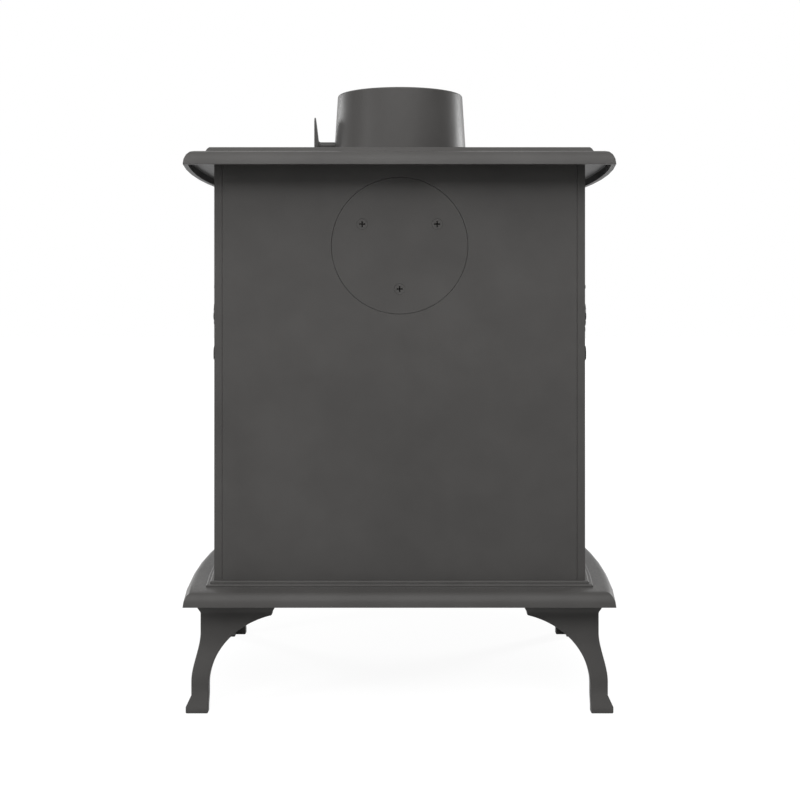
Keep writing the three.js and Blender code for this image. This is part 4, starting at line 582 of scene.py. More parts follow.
def bolt_tree():
    """Hexagon bolts that point up from their seats."""
    tree, given = growing_tree(
        "hexagon bolts", Head="Float", Height="Float", Shank="Float", Length="Float"
    )
    head, height, long = given["Head"], given["Height"], given["Length"]

    def lifted(mesh, size, share):
        return moved(tree, mesh, Translation=xyz(tree, z=times(tree, size, share)))

    block_height = times(tree, height, HEXAGON_SHARE)
    block = cylinder(tree, 6, head, block_height)
    crown = add(
        tree, "GeometryNodeMeshCone",
        {
            "Vertices": SHANK_FACETS,
            "Radius Bottom": times(tree, head, CROWN_FOOT_SHARE),
            "Radius Top": times(tree, head, CROWN_TOP_SHARE),
            "Depth": times(tree, height, 1 - HEXAGON_SHARE),
        },
    ).outputs["Mesh"]
    shank = cylinder(tree, SHANK_FACETS, given["Shank"], long)
    bolt = joined(
        tree,
        lifted(block, block_height, -1 / 2),
        lifted(crown, height, -(1 + HEXAGON_SHARE) / 2),
        lifted(shank, long, 1 / 2),
    )
    return set_out(tree, given, bolt)


# How wide a cross recess's bars are, and how wide the block is that cuts a screw's dome flat
CROSS_WIDTH_SHARE = 0.22
DOME_BLOCK_SHARE = 2.2


def screw_tree():
    """Pan head screws with a cross recess, set on their seats and turned to their axis."""
    tree, given = growing_tree(
        "pan head screws",
        Head="Float", Height="Float", Shank="Float", Length="Float", Recess="Float", Turn="Vector",
    )
    head, height, long, recess = (given[key] for key in ("Head", "Height", "Length", "Recess"))

    def block(x, y, lift):
        cube = add(tree, "GeometryNodeMeshCube", {"Size": xyz(tree, x, y, height)}).outputs["Mesh"]
        return moved(tree, cube, Translation=xyz(tree, z=lift))

    dome = moved(tree, ball(tree, 1, 32, 16), Scale=xyz(tree, head, head, times(tree, height, 2)))
    edge = times(tree, head, DOME_BLOCK_SHARE)
    crown = boolean(tree, "INTERSECT", None, dome, block(edge, edge, times(tree, height, 1 / 2)))
    width = times(tree, recess, CROSS_WIDTH_SHARE)
    bars = [block(x, y, height) for x, y in ((recess, width), (width, recess))]
    cut = boolean(tree, "DIFFERENCE", crown, *bars)
    shank = moved(
        tree, cylinder(tree, SHANK_FACETS, given["Shank"], long),
        Translation=xyz(tree, z=times(tree, long, -1 / 2)),
    )
    turn = add(tree, "FunctionNodeEulerToRotation", {"Euler": given["Turn"]}).outputs["Rotation"]
    return set_out(tree, given, joined(tree, cut, shank), Rotation=turn)


# How far a strand rises and dips where it crosses another, as a share of its radius
WEAVE_SHARE = 0.35
STRAND_FACETS = 6
CORE_FACETS = 12


def braid_tree():
    """Strands that wind both ways round a path over a plain core."""
    tree, given = growing_tree(
        "braided rope", Core="Float", Flatness="Float", Strand="Float", Lay="Float", Strands="Int",
        Step="Float",
    )
    path = add(tree, "GeometryNodeMeshToCurve", {"Mesh": given["Geometry"]}).outputs["Curve"]
    even = add(
        tree, "GeometryNodeResampleCurve", {"Curve": path, "Length": given["Step"]}, mode="LENGTH"
    ).outputs["Curve"]
    copies = times(tree, given["Strands"], 2)
    many = add(
        tree, "GeometryNodeDuplicateElements", {"Geometry": even, "Amount": copies}, domain="SPLINE"
    )
    capture = add(
        tree, "GeometryNodeCaptureAttribute", {"Geometry": many.outputs["Geometry"]}, domain="CURVE"
    )
    capture.capture_items.new("INT", "Strand")
    tree.links.new(many.outputs["Duplicate Index"], capture.inputs["Strand"])
    strand = capture.outputs["Strand"]
    way = maths(tree, "SUBTRACT", times(tree, maths(tree, "MODULO", strand, 2), 2), 1)
    start = maths(tree, "DIVIDE", times(tree, strand, TURN), copies)
    along = add(tree, "GeometryNodeSplineParameter").outputs["Length"]
    total = add(tree, "GeometryNodeSplineLength").outputs["Length"]
    turns = maths(tree, "ROUND", maths(tree, "DIVIDE", total, given["Lay"]))
    winding = times(tree, maths(tree, "DIVIDE", along, total), turns)
    angle = times(tree, winding, TURN)
    phase = maths(tree, "ADD", times(tree, angle, way), start)
    over = maths(tree, "SINE", times(tree, times(tree, angle, given["Strands"]), 2))
    weave = times(tree, times(tree, over, way), WEAVE_SHARE)
    radius = maths(tree, "ADD", given["Core"], times(tree, given["Strand"], weave))
    tangent = add(tree, "GeometryNodeInputTangent").outputs["Tangent"]
    inward = vector(tree, "NORMALIZE", vector(tree, "CROSS_PRODUCT", tangent, (0, 1, 0)))
    sideways = times(tree, maths(tree, "COSINE", phase), radius)
    outwards = times(tree, times(tree, maths(tree, "SINE", phase), radius), given["Flatness"])
    offset = vector(tree, "ADD", vector(tree, "SCALE", inward, sideways), xyz(tree, y=outwards))
    wound = add(
        tree, "GeometryNodeSetPosition", {"Geometry": capture.outputs["Geometry"], "Offset": offset}
    ).outputs["Geometry"]
    strands = swept(tree, wound, circle(tree, STRAND_FACETS, given["Strand"]))
    core_radius = times(tree, given["Core"], given["Flatness"])
    core = swept(tree, even, circle(tree, CORE_FACETS, core_radius))
    return close_tree(tree, joined(tree, strands, core), given["Material"])


# How much narrower a leaf gets from its middle to its tip
LEAF_TAPER_SHARE = 0.9


def leaf_tree():
    """Leaves set on points of a side, each turned and sized by the point's own values."""
    tree, given = growing_tree("leaves", Relief="Float", Width="Float")
    place = add(tree, "GeometryNodeInputPosition").outputs["Position"]
    x, y, z = add(tree, "ShaderNodeSeparateXYZ", {"Vector": place}).outputs
    taper = maths(tree, "SUBTRACT", 1, times(tree, z, LEAF_TAPER_SHARE))
    pointed = xyz(tree, x, times(tree, y, taper), z)
    leaf = add(
        tree, "GeometryNodeSetPosition", {"Geometry": ball(tree, 1 / 2, 12, 8), "Position": pointed}
    ).outputs["Geometry"]
    long = point_value(tree, "size")
    raised = times(tree, long, times(tree, given["Relief"], 2))
    scale = xyz(tree, raised, times(tree, long, given["Width"]), long)
    euler = xyz(tree, point_value(tree, "turn"))
    turn = add(tree, "FunctionNodeEulerToRotation", {"Euler": euler}).outputs["Rotation"]
    return set_out(tree, given, leaf, Rotation=turn, Scale=scale)


def points_mesh(name, places, **values):
    """A mesh of loose points, each with the given values."""
    mesh = bpy.data.meshes.new(name)
    mesh.from_pydata([tuple(place) for place in places], [], [])
    for key, numbers in values.items():
        mesh.attributes.new(key, "FLOAT", "POINT").data.foreach_set("value", numbers)
    return mesh


# Materials


def blank_material(name):
    material = bpy.data.materials.new(name)
    material.use_nodes = True
    tree = material.node_tree
    tree.nodes.clear()
    output = tree.nodes.new("ShaderNodeOutputMaterial")
    shader = tree.nodes.new("ShaderNodeBsdfPrincipled")
    tree.links.new(shader.outputs["BSDF"], output.inputs["Surface"])
    return material, tree, shader


def object_place(tree):
    return tree.nodes.new("ShaderNodeTexCoord").outputs["Object"]


def noise(tree, place, size, detail=2, roughness=0.5):
    """Noise whose features have about the given size."""
    return add(
        tree, "ShaderNodeTexNoise",
        {"Vector": place, "Scale": 1 / size, "Detail": detail, "Roughness": roughness},
    ).outputs["Fac"]


def ramp(tree, value, stops):
    """Maps a value to a colour through the given stops of place and colour."""
    node = add(tree, "ShaderNodeValToRGB", {"Fac": value})
    elements = node.color_ramp.elements
    while len(elements) < len(stops):
        elements.new(1 / 2)
    for element, (place, color) in zip(elements, stops):
        element.position = place
        element.color = color
    return node.outputs["Color"]


def grey(value):
    return (value, value, value, 1)


def shade(color, factor):
    return (*(min(1, c * factor) for c in color), 1)


def tones(tree, value, color, shares):
    """Shades a colour by a value, through stops of place and share of the colour."""
    return ramp(tree, value, [(place, shade(color, share)) for place, share in shares])


def greys(tree, value, stops):
    """Maps a value to a grey, through stops of place and grey."""
    return ramp(tree, value, [(place, grey(level)) for place, level in stops])


def bump(tree, height, distance, strength=1, under=None):
    inputs = {"Height": height, "Distance": distance, "Strength": strength}
    if under is not None:
        inputs["Normal"] = under
    return add(tree, "ShaderNodeBump", inputs).outputs["Normal"]


PAINT_PATCH = 60 * MM
PAINT_SWELL = 22 * MM
PAINT_SWELL_HEIGHT = 0.5 * MM
PAINT_SPECKLE = 1.6 * MM
PAINT_GRAIN = 1.3 * MM
PAINT_GRAIN_HEIGHT = 0.12 * MM
PAINT_TONE_SHARES = ((0.3, 0.92), (0.7, 1.08))
PAINT_GLOSS_STEPS = ((0.3, -0.05), (0.7, 0.09))
PAINT_SPECULAR = 0.09


def paint_finish(finishes):
    """Heat resistant stove paint over a sand cast surface."""
    material, tree, shader = blank_material("stove_paint_finish")
    place = object_place(tree)
    patches = noise(tree, place, PAINT_PATCH, detail=3)
    speckle = noise(tree, place, PAINT_SPECKLE, detail=3, roughness=0.6)
    gloss = [(at, finishes.paint_roughness + step) for at, step in PAINT_GLOSS_STEPS]
    swell = noise(tree, place, PAINT_SWELL)
    swells = bump(tree, swell, PAINT_SWELL_HEIGHT, strength=0.25)
    grain = noise(tree, place, PAINT_GRAIN, detail=4, roughness=0.65)
    feed(tree, shader, {
        "Base Color": tones(tree, patches, finishes.paint_color, PAINT_TONE_SHARES),
        "Roughness": greys(tree, speckle, gloss),
        "Specular IOR Level": PAINT_SPECULAR,
        "Normal": bump(tree, grain, PAINT_GRAIN_HEIGHT, strength=0.8, under=swells),
    })
    return material


IRON_PATCH = 26 * MM
IRON_SPECKLE = 3 * MM
IRON_GRAIN = 1.1 * MM
IRON_GRAIN_HEIGHT = 0.2 * MM
IRON_TONE_SHARES = ((0.25, 0.7), (0.55, 1.1))
IRON_GLOSS = ((0.3, 0.55), (0.7, 0.8))
RUST_FROM = 0.8
RUST_COLOR = (0.11, 0.075, 0.052, 1)


def iron_finish(finishes):
    """Bare cast iron, dulled and browned by heat."""
    material, tree, shader = blank_material("bare_iron_finish")
    place = object_place(tree)
    patches = noise(tree, place, IRON_PATCH, detail=4, roughness=0.6)
    stops = [(at, shade(finishes.iron_color, share)) for at, share in IRON_TONE_SHARES]
    speckle = noise(tree, place, IRON_SPECKLE, detail=3)
    grain = noise(tree, place, IRON_GRAIN, detail=4, roughness=0.7)
    feed(tree, shader, {
        "Base Color": ramp(tree, patches, [*stops, (RUST_FROM, RUST_COLOR)]),
        "Roughness": greys(tree, speckle, IRON_GLOSS),
        "Metallic": 0.35,
        "Normal": bump(tree, grain, IRON_GRAIN_HEIGHT, strength=0.9),
    })
    return material


STEEL_TARNISH = 9 * MM
STEEL_SPECKLE = 2 * MM
STEEL_LINE = 0.5 * MM
STEEL_LINE_DEPTH = 0.03 * MM
STEEL_DRAWN_SHARES = (1, 0.06, 1)
STEEL_TONE_SHARES = ((0.3, 0.72), (0.65, 1.1))
STEEL_GLOSS = ((0.3, 0.3), (0.7, 0.5))


def steel_finish(finishes):
    """Plain steel with fine scratches and a little tarnish."""
    material, tree, shader = blank_material("steel_finish")
    place = object_place(tree)
    tarnish = noise(tree, place, STEEL_TARNISH, detail=3, roughness=0.6)
    speckle = noise(tree, place, STEEL_SPECKLE, detail=4)
    drawn = add(tree, "ShaderNodeMapping", {"Vector": place, "Scale": STEEL_DRAWN_SHARES}).outputs[0]
    lines = noise(tree, drawn, STEEL_LINE)
    feed(tree, shader, {
        "Base Color": tones(tree, tarnish, finishes.steel_color, STEEL_TONE_SHARES),
        "Roughness": greys(tree, speckle, STEEL_GLOSS),
        "Metallic": 0.9,
        "Normal": bump(tree, lines, STEEL_LINE_DEPTH, strength=0.6),
    })
    return material


BRICK_FLAKE = 3.2 * MM
BRICK_PIT_DEPTH = 0.5 * MM
BRICK_SOOT = 70 * MM
BRICK_GRAIN = 0.9 * MM
BRICK_GRAIN_HEIGHT = 0.2 * MM
BRICK_TONE_SHARES = ((0.15, 0.62), (0.5, 1.0), (0.9, 1.35))
SOOT_TONES = ((0.35, 0.35), (0.7, 1))
SOOT_SHARE = 0.65


def brick_finish(finishes):
    """Pressed vermiculite: gold flakes in a pale ground, sooty in patches."""
    material, tree, shader = blank_material("fire_brick_finish")
    place = object_place(tree)
    flakes = add(tree, "ShaderNodeTexVoronoi", {"Vector": place, "Scale": 1 / BRICK_FLAKE})
    ground = tones(tree, flakes.outputs["Color"], finishes.brick_color, BRICK_TONE_SHARES)
    soot = greys(tree, noise(tree, place, BRICK_SOOT, detail=3, roughness=0.6), SOOT_TONES)
    mixed = add(
        tree, "ShaderNodeMix", {0: SOOT_SHARE, 6: ground, 7: soot},
        data_type="RGBA", blend_type="MULTIPLY",
    )
    pits = bump(tree, flakes.outputs["Distance"], BRICK_PIT_DEPTH, strength=0.5)
    grain = noise(tree, place, BRICK_GRAIN, detail=3)
    feed(tree, shader, {
        "Base Color": mixed.outputs[2],
        "Roughness": 0.9,
        "Normal": bump(tree, grain, BRICK_GRAIN_HEIGHT, strength=0.6, under=pits),
    })
    return material


ROPE_PATCH = 5 * MM
ROPE_FIBRE = 0.4 * MM
ROPE_FIBRE_HEIGHT = 0.1 * MM
ROPE_TONE_SHARES = ((0.3, 0.6), (0.7, 1.5))


def rope_finish(finishes):
    """Braided glass fibre, grey with soot."""
    material, tree, shader = blank_material("rope_seal_finish")
    place = object_place(tree)
    patches = noise(tree, place, ROPE_PATCH, detail=3, roughness=0.6)
    fibres = noise(tree, place, ROPE_FIBRE)
    feed(tree, shader, {
        "Base Color": tones(tree, patches, finishes.rope_color, ROPE_TONE_SHARES),
        "Roughness": 0.95,
        "Sheen Weight": 0.3,
        "Normal": bump(tree, fibres, ROPE_FIBRE_HEIGHT, strength=0.8),
    })
    return material


GLASS_HAZE = 45 * MM
GLASS_TONE_SHARES = ((0.35, 0.92), (0.65, 1.0))
GLASS_GLOSS = ((0.35, 0.07), (0.6, 0.03))


def glass_finish(finishes):
    """Ceramic glass with a faint brown tint and a haze of soot."""
    material, tree, shader = blank_material("ceramic_glass_finish")
    haze = noise(tree, object_place(tree), GLASS_HAZE, detail=4, roughness=0.6)
    feed(tree, shader, {
        "Base Color": tones(tree, haze, finishes.glass_color, GLASS_TONE_SHARES),
        "Roughness": greys(tree, haze, GLASS_GLOSS),
        "Transmission Weight": 0.92,
        "IOR": 1.52,
    })
    return material


FINISHES = {
    "stove_paint": paint_finish,
    "bare_iron": iron_finish,
    "steel": steel_finish,
    "fire_brick": brick_finish,
    "rope_seal": rope_finish,
    "ceramic_glass": glass_finish,
}


def finish(slot):
    """The material of a slot, made when it is first asked for."""
    found = bpy.data.materials.get(slot + "_finish")
    return found or FINISHES[slot](bpy.context.scene.stove_finishes)


# Plates and walls


class STOVE_OT_plates(bpy.types.Operator):
    """Makes the base plate and the top plate"""

    bl_idname = "stove.plates"
    bl_label = "Plates"

    def execute(self, context):
        width = context.scene.stove_edges.plate
        softened("base_plate", width)
        softened("top_plate", width, circles=[(collar_middle, Z, LARGE_CIRCLE)])
        return {"FINISHED"}


class STOVE_OT_walls(bpy.types.Operator):
    """Makes the side panels, the front frame and the back panel"""

    bl_idname = "stove.walls"
    bl_label = "Walls"

    def execute(self, context):
        edges = context.scene.stove_edges
        fine_share = edges.seam / edges.casting
        corner_share = edges.corner / edges.casting
        seam_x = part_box("back_panel")[1][0] + NEAR
        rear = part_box("side_panel_right")[1][1]

        def share_at(place):
            if abs(place.x) < seam_x:
                return fine_share
            return corner_share if place.y > rear - NEAR else 1

        for node in ("side_panel_right", "side_panel_left"):
            softened(node, edges.casting, share_at=share_at)
        softened("front_frame", edges.casting)
        softened("back_panel", edges.seam, circles=[(outlet_middle, Y, LARGE_CIRCLE)])
        return {"FINISHED"}


# Depth of the cross in the frame's blanking screws, and how far its floor is drawn in here
CAD_CROSS_DEPTH = 2.2 * MM
CROSS_FLOOR_SHARE = 0.6


def sunk_cross(screw, depth):
    """Sinks the floor of a screw's cross and draws it in, so that the recess tapers."""
    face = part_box(screw)[1][1]
    middle = middle_of(screw)

    def reshape(bm):
        for vert in bm.verts:
            if abs(face - vert.co.y - CAD_CROSS_DEPTH) < CLOSE:
                vert.co = middle + (vert.co - middle) * CROSS_FLOOR_SHARE
                vert.co.y = face - depth

    return reshape


class STOVE_OT_outlet(bpy.types.Operator):
    """Makes the blanking plate of the rear outlet and its screws"""

    bl_idname = "stove.outlet"
    bl_label = "Rear outlet"

    def execute(self, context):
        width = context.scene.stove_edges.seam
        nodes = numbered("blanking_screw", 3)
        heads = [(middle_of(node), Y, MEDIUM_CIRCLE) for node in nodes]
        softened("blanking_plate", width, circles=[(outlet_middle, Y, LARGE_CIRCLE), *heads])
        depth = context.scene.stove_fasteners.cross_depth
        for node, head in zip(nodes, heads):
            softened(node, width, 2, circles=[head], reshape=sunk_cross(node, depth))
        return {"FINISHED"}


# Widths of a leaf and a petal as shares of their lengths
LEAF_WIDTH_SHARE = 0.42
PETAL_WIDTH_SHARE = 0.5
# The festoon's leaves and rows at its ends, as shares of those at its middle
END_LEAF_SHARE = 0.5
END_ROW_SHARE = 0.3
# The place of a rosette's petals, and the length and spacing of a drop's, as shares of a petal
PETAL_OUT_SHARE = 0.6
DROP_LENGTH_SHARE = 2
DROP_SPACING_SHARE = 0.25


def on_side(node, places):
    """The points of a side's surface that are seen from outside at places given as (y, z)."""
    mesh = frame["nodes"][node].data
    surface = BVHTree.FromPolygons(
        [vert.co for vert in mesh.vertices], [face.vertices for face in mesh.polygons]
    )
    out = X if middle_of(node).x > 0 else -X
    points = [surface.ray_cast(out + Vector((0, y, z)), -out)[0] for y, z in places]
    if None in points:
        raise ValueError(f"an ornament lies beside {node}")
    return points


def festoon_leaves(sizes):
    """Leaves in rows of three from both rosettes down to the middle: place, length and turn."""
    middle = middle_of("side_panel_right").y
    leaves = []
    for i in range(sizes.rows):
        along = (2 * i + 1) / sizes.rows - 1
        fullness = 1 - along * along
        y = middle + along * sizes.rosette_reach
        z = sizes.rosette_height - sizes.sag * fullness
        slope = math.atan2(2 * sizes.sag * along, sizes.rosette_reach)
        heading = slope if along < 0 else slope + TURN / 2
        size = sizes.leaf * (END_LEAF_SHARE + (1 - END_LEAF_SHARE) * fullness)
        row = sizes.leaf_width * (END_ROW_SHARE + (1 - END_ROW_SHARE) * fullness)
        for across in (-1, 0, 1):
            off = across * row / 2
            place = (y - off * math.sin(slope), z + off * math.cos(slope))
            turn = heading - across * math.copysign(sizes.splay, along)
            leaves.append((*place, size, turn - TURN / 4))
    return leaves


def rosette_petals(sizes):
    """Petals of the rosettes and drops of a side: place, length and turn."""
    middle = middle_of("side_panel_right").y
    out = sizes.petal * PETAL_OUT_SHARE
    drop = sizes.rosette_height - sizes.drop_fall
    petals = []
    for y in (middle - sizes.rosette_reach, middle + sizes.rosette_reach):
        for i in range(sizes.petals):
            angle = TURN * i / sizes.petals
            place = (y + out * math.cos(angle), sizes.rosette_height + out * math.sin(angle))
            petals.append((*place, sizes.petal, angle - TURN / 4))
        for across in (-1, 0, 1):
            place = (y + across * sizes.petal * DROP_SPACING_SHARE, drop)
            turn = TURN / 2 - across * sizes.splay / 2
            petals.append((*place, sizes.petal * DROP_LENGTH_SHARE, turn))
    return petals


class STOVE_OT_ornament(bpy.types.Operator):
    """Makes the leaves and petals of the festoons on the sides"""

    bl_idname = "stove.ornament"
    bl_label = "Ornament of the sides"

    def execute(self, context):
        sizes = context.scene.stove_ornament
        for name, leaves, relief, width in (
            ("festoon_leaves", festoon_leaves(sizes), sizes.leaf_relief, LEAF_WIDTH_SHARE),
            ("rosette_petals", rosette_petals(sizes), sizes.petal_relief, PETAL_WIDTH_SHARE),
        ):
            places = [
                place
                for node in ("side_panel_right", "side_panel_left")
                for place in on_side(node, [leaf[:2] for leaf in leaves])
            ]
            long = [size for _, _, size, _ in leaves] * 2
            turns = [turn for _, _, _, turn in leaves] * 2
            points = points_mesh(name, places, size=long, turn=turns)
            made = grown(
                name + "_fine", points, leaf_tree(),
                Relief=relief, Width=width, Material=finish("stove_paint"),
            )
            dress(made, "stove", "stove_paint")
        return {"FINISHED"}


# Legs and bolts

LEG_PLACES = [(end, side) for end in ("rear", "front") for side in ("right", "left")]


def leg_edge(z, rule):
    """How far the leg's outer edge lies inside the foot's, at a height."""
    bevel = min(max((z - rule.foot) / rule.bevel_height, 0), 1)
    t = min(max((z - rule.ankle) / (rule.knee - rule.ankle), 0), 1)
    knee = t * t * (3 - 2 * t)
    return bevel * rule.bevel_width + knee * (rule.knee_inset - rule.bevel_width)


def leg_arch(z, rule):
    """How far the wing reaches from the leg's corner, at a height."""
    rise = min(max((z - rule.arch_start) / rule.arch_rise, 0), 1)
    return min(rule.shank + rule.arch_width * (1 - math.sqrt(1 - rise * rise)), rule.wing)


def leg_mesh(rule, top, steps=48):
    """A leg drawn from its outer corner, with its wings along -X and -Y."""
    wing_share = 1 - (rule.wing - rule.shank) / rule.arch_width
    arch_end = math.acos(wing_share)
    arch = [
        rule.arch_start + rule.arch_rise * math.sin(arch_end * i / steps) for i in range(steps + 1)
    ]

    def ring(z, flare=0):
        edge = leg_edge(z, rule) - flare
        end = leg_arch(z, rule) + flare
        back = edge + rule.wall + 2 * flare
        outline = ((edge, edge), (end, edge), (end, back), (back, back), (back, end), (edge, end))
        return [(-x, -y, z) for x, y in outline]

    neck = top - rule.cap
    levels = [0, rule.foot, rule.foot + rule.bevel_height, *arch, neck]
    rings = [ring(z) for z in levels]
    rings += [ring(top - rule.cap / 2, rule.flare), ring(top, rule.flare)]
    bm = bmesh.new()
    loft(bm, rings)
    root = -(rule.knee_inset + rule.wall - OVERLAP)
    reach = root - rule.flange_reach
    triangle = ((root, root), (reach, root), (root, reach))
    loft(bm, [[(x, y, z) for x, y in triangle] for z in (top - rule.flange_wall, top)])
    bmesh.ops.recalc_face_normals(bm, faces=bm.faces)
    return bm


class STOVE_OT_legs(bpy.types.Operator):
    """Makes the four cabriole legs"""

    bl_idname = "stove.legs"
    bl_label = "Legs"

    def execute(self, context):
        rule = context.scene.stove_legs
        for end, side in LEG_PLACES:
            node = f"leg_{end}_{side}"
            low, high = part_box(node)
            sx = 1 if side == "right" else -1
            sy = 1 if end == "rear" else -1
            corner = Vector((high[0] if sx > 0 else low[0], high[1] if sy > 0 else low[1], 0))
            corner.x += sx * rule.spread
            bm = leg_mesh(rule, high[2])
            for vert in bm.verts:
                vert.co = corner + Vector((sx * vert.co.x, sy * vert.co.y, vert.co.z))
            bmesh.ops.recalc_face_normals(bm, faces=bm.faces)
            made = new_object(node + "_fine", mesh_of(bm, node + "_fine"))
            round_edges(made, context.scene.stove_edges.leg, 4)
            dress(made, "stove", "stove_paint", node)
        return {"FINISHED"}


def bolts(name, nodes, **sizes):
    """Bolts of one size, each on the seat that its CAD node's head has."""
    seats = []
    for node in nodes:
        low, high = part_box(node)
        middle = middle_of(node)
        seats.append((middle.x, middle.y, low[2] + sizes["Height"]))
        sizes["Length"] = high[2] - low[2] - sizes["Height"]
    made = grown(name, points_mesh(name, seats), bolt_tree(), Material=finish("steel"), **sizes)
    dress(made, "stove", "steel", *nodes)


class STOVE_OT_bolts(bpy.types.Operator):
    """Makes the hexagon bolts of the legs and of the ties"""

    bl_idname = "stove.bolts"
    bl_label = "Bolts"

    def execute(self, context):
        places = ["_".join(place) for place in LEG_PLACES]
        sizes = context.scene.stove_fasteners
        head = {"Head": sizes.bolt_head, "Height": sizes.bolt_height, "Shank": sizes.bolt_shank}
        bolts("leg_bolts_fine", ["leg_bolt_" + place for place in places], **head)
        bolts("tie_bolts_fine", ["tie_bolt_" + place for place in places], **head)
        return {"FINISHED"}


# Flue collar and damper

# Steps of the rim's rounding and of a lug's tip, and the angles at which the lugs stand
RIM_STEPS = 6
LUG_STEPS = 16
LUG_ANGLES = (TURN / 12, TURN * 5 / 12, TURN * 3 / 4)


def collar_outline(sizes, bottom, top):
    """The collar's section, as points of radius and height."""
    outer_round, inner_round = sizes.rim_round, sizes.rim_round / 2
    outer = arc(
        sizes.rim - outer_round, top - outer_round, outer_round, outer_round, 0, TURN / 4, RIM_STEPS
    )
    inner = arc(
        sizes.bore + inner_round, top - inner_round, inner_round, inner_round, TURN / 4, TURN / 2,
        RIM_STEPS,
    )
    return [(sizes.bore, bottom), (sizes.root, bottom), *outer, *inner]


def lug_outline(sizes, angle):
    """A lug's outline about the collar's axis, turned to its place."""
    radius = sizes.lug_radius
    tip = arc(sizes.lug_circle, 0, radius, radius, TURN / 4, TURN * 3 / 4, LUG_STEPS)
    root = sizes.bore + OVERLAP
    outline = [*tip, (root, -radius), (root, radius)]
    c, s = math.cos(angle), math.sin(angle)
    return [(x * c - y * s, x * s + y * c) for x, y in outline]


class STOVE_OT_collar(bpy.types.Operator):
    """Makes the flue collar with the screw lugs in its foot"""

    bl_idname = "stove.collar"
    bl_label = "Flue collar"

    def execute(self, context):
        sizes = context.scene.stove_collar
        low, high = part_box("flue_collar")
        made = turned("flue_collar_fine", collar_outline(sizes, low[2], high[2]), "stove_paint")
        bm = bmesh.new()
        bm.from_mesh(made.data)
        for vert in bm.verts:
            vert.co.y += collar_middle.y
        for angle in LUG_ANGLES:
            outline = [(x, y + collar_middle.y) for x, y in lug_outline(sizes, angle)]
            loft(bm, [[(x, y, z) for x, y in outline] for z in (low[2], low[2] + sizes.lug_wall)])
        bmesh.ops.recalc_face_normals(bm, faces=bm.faces)
        made.data = mesh_of(bm, "flue_collar_fine")
        round_edges(made, context.scene.stove_edges.steel, 2)
        dress(made, "stove", "stove_paint", "flue_collar")
        return {"FINISHED"}


def screws(name, nodes, seats, body, turn=(0, 0, 0), **sizes):
    """Pan head screws on their seats, which stand for CAD nodes."""
    recess = bpy.context.scene.stove_fasteners.recess
    made = grown(
        name + "_fine", points_mesh(name, seats), screw_tree(),
        Recess=recess, Turn=turn, Material=finish("steel"), **sizes,
    )
    dress(made, body, "steel", *nodes)


class STOVE_OT_collar_screws(bpy.types.Operator):
    """Makes the three screws in the collar's foot"""

    bl_idname = "stove.collar_screws"
    bl_label = "Collar screws"

    def execute(self, context):
        sizes = context.scene.stove_fasteners
        nodes = numbered("collar_screw", 3)
        seats = [middle_of(node) for node in nodes]
        for node, seat in zip(nodes, seats):
            seat.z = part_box(node)[1][2] - sizes.collar_height
        screws(
            "collar_screws", nodes, seats, "stove",
            Head=sizes.collar_head, Height=sizes.collar_height, Shank=sizes.collar_shank,
            Length=sizes.collar_length,
        )
        return {"FINISHED"}


class STOVE_OT_damper(bpy.types.Operator):
    """Makes the damper's disc and its spindle with the blade for a handle"""

    bl_idname = "stove.damper"
    bl_label = "Damper"

    def execute(self, context):
        edges = context.scene.stove_edges
        boss = (damper_middle, X, MEDIUM_CIRCLE)
        softened("damper_disc", edges.steel, circles=[(damper_middle, Y, LARGE_CIRCLE), boss])
        softened("damper_spindle", edges.steel, circles=[boss])
        return {"FINISHED"}


# Fire door


class STOVE_OT_door(bpy.types.Operator):
    """Makes the fire door"""

    bl_idname = "stove.door"
    bl_label = "Fire door"

    def execute(self, context):
        softened("fire_door", context.scene.stove_edges.casting / 2)
        return {"FINISHED"}


class STOVE_OT_window(bpy.types.Operator):
    """Makes the pane, its gasket and the clips that hold it"""

    bl_idname = "stove.window"
    bl_label = "Window"

    def execute(self, context):
        edges = context.scene.stove_edges
        sizes = context.scene.stove_fasteners
        softened("door_glass", edges.steel)
        softened("glass_gasket", edges.steel)
        for clip in numbered("glass_clip", 4):
            softened(clip, edges.sheet)
        nodes = numbered("clip_screw", 4)
        seats = [middle_of(node) for node in nodes]
        for node, seat in zip(nodes, seats):
            low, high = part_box(node)
            seat.y = high[1] - sizes.clip_height
        screws(
            "clip_screws", nodes, seats, "fire_door", (-TURN / 4, 0, 0),
            Head=sizes.clip_head, Height=sizes.clip_height, Shank=sizes.clip_shank,
            Length=high[1] - low[1] - sizes.clip_height,
        )
        return {"FINISHED"}


# Steps in which the rope turns a corner
CORNER_STEPS = 8


class STOVE_OT_door_rope(bpy.types.Operator):
    """Makes the braided rope in the door's groove"""

    bl_idname = "stove.door_rope"
    bl_label = "Door rope"

    def execute(self, context):
        rope = context.scene.stove_rope
        low, high = (Vector(corner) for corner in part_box("door_rope"))
        inset = rope.half_width
        depth = (low.y + high.y) / 2
        half_depth = (high.y - low.y) / 2
        low += Vector((inset, 0, inset))
        high -= Vector((inset, 0, inset))
        path = [(x, depth, z) for x, z in rounded_rectangle(low, high, rope.corner, CORNER_STEPS)]
        core = inset - rope.strand
        made = grown(
            "door_rope_fine", polyline("door_rope", path), braid_tree(),
            Core=core, Flatness=(half_depth - rope.strand) / core, Strand=rope.strand,
            Lay=rope.lay, Strands=rope.strands, Step=rope.step, Material=finish("rope_seal"),
        )
        dress(made, "fire_door", "rope_seal", "door_rope")
        return {"FINISHED"}


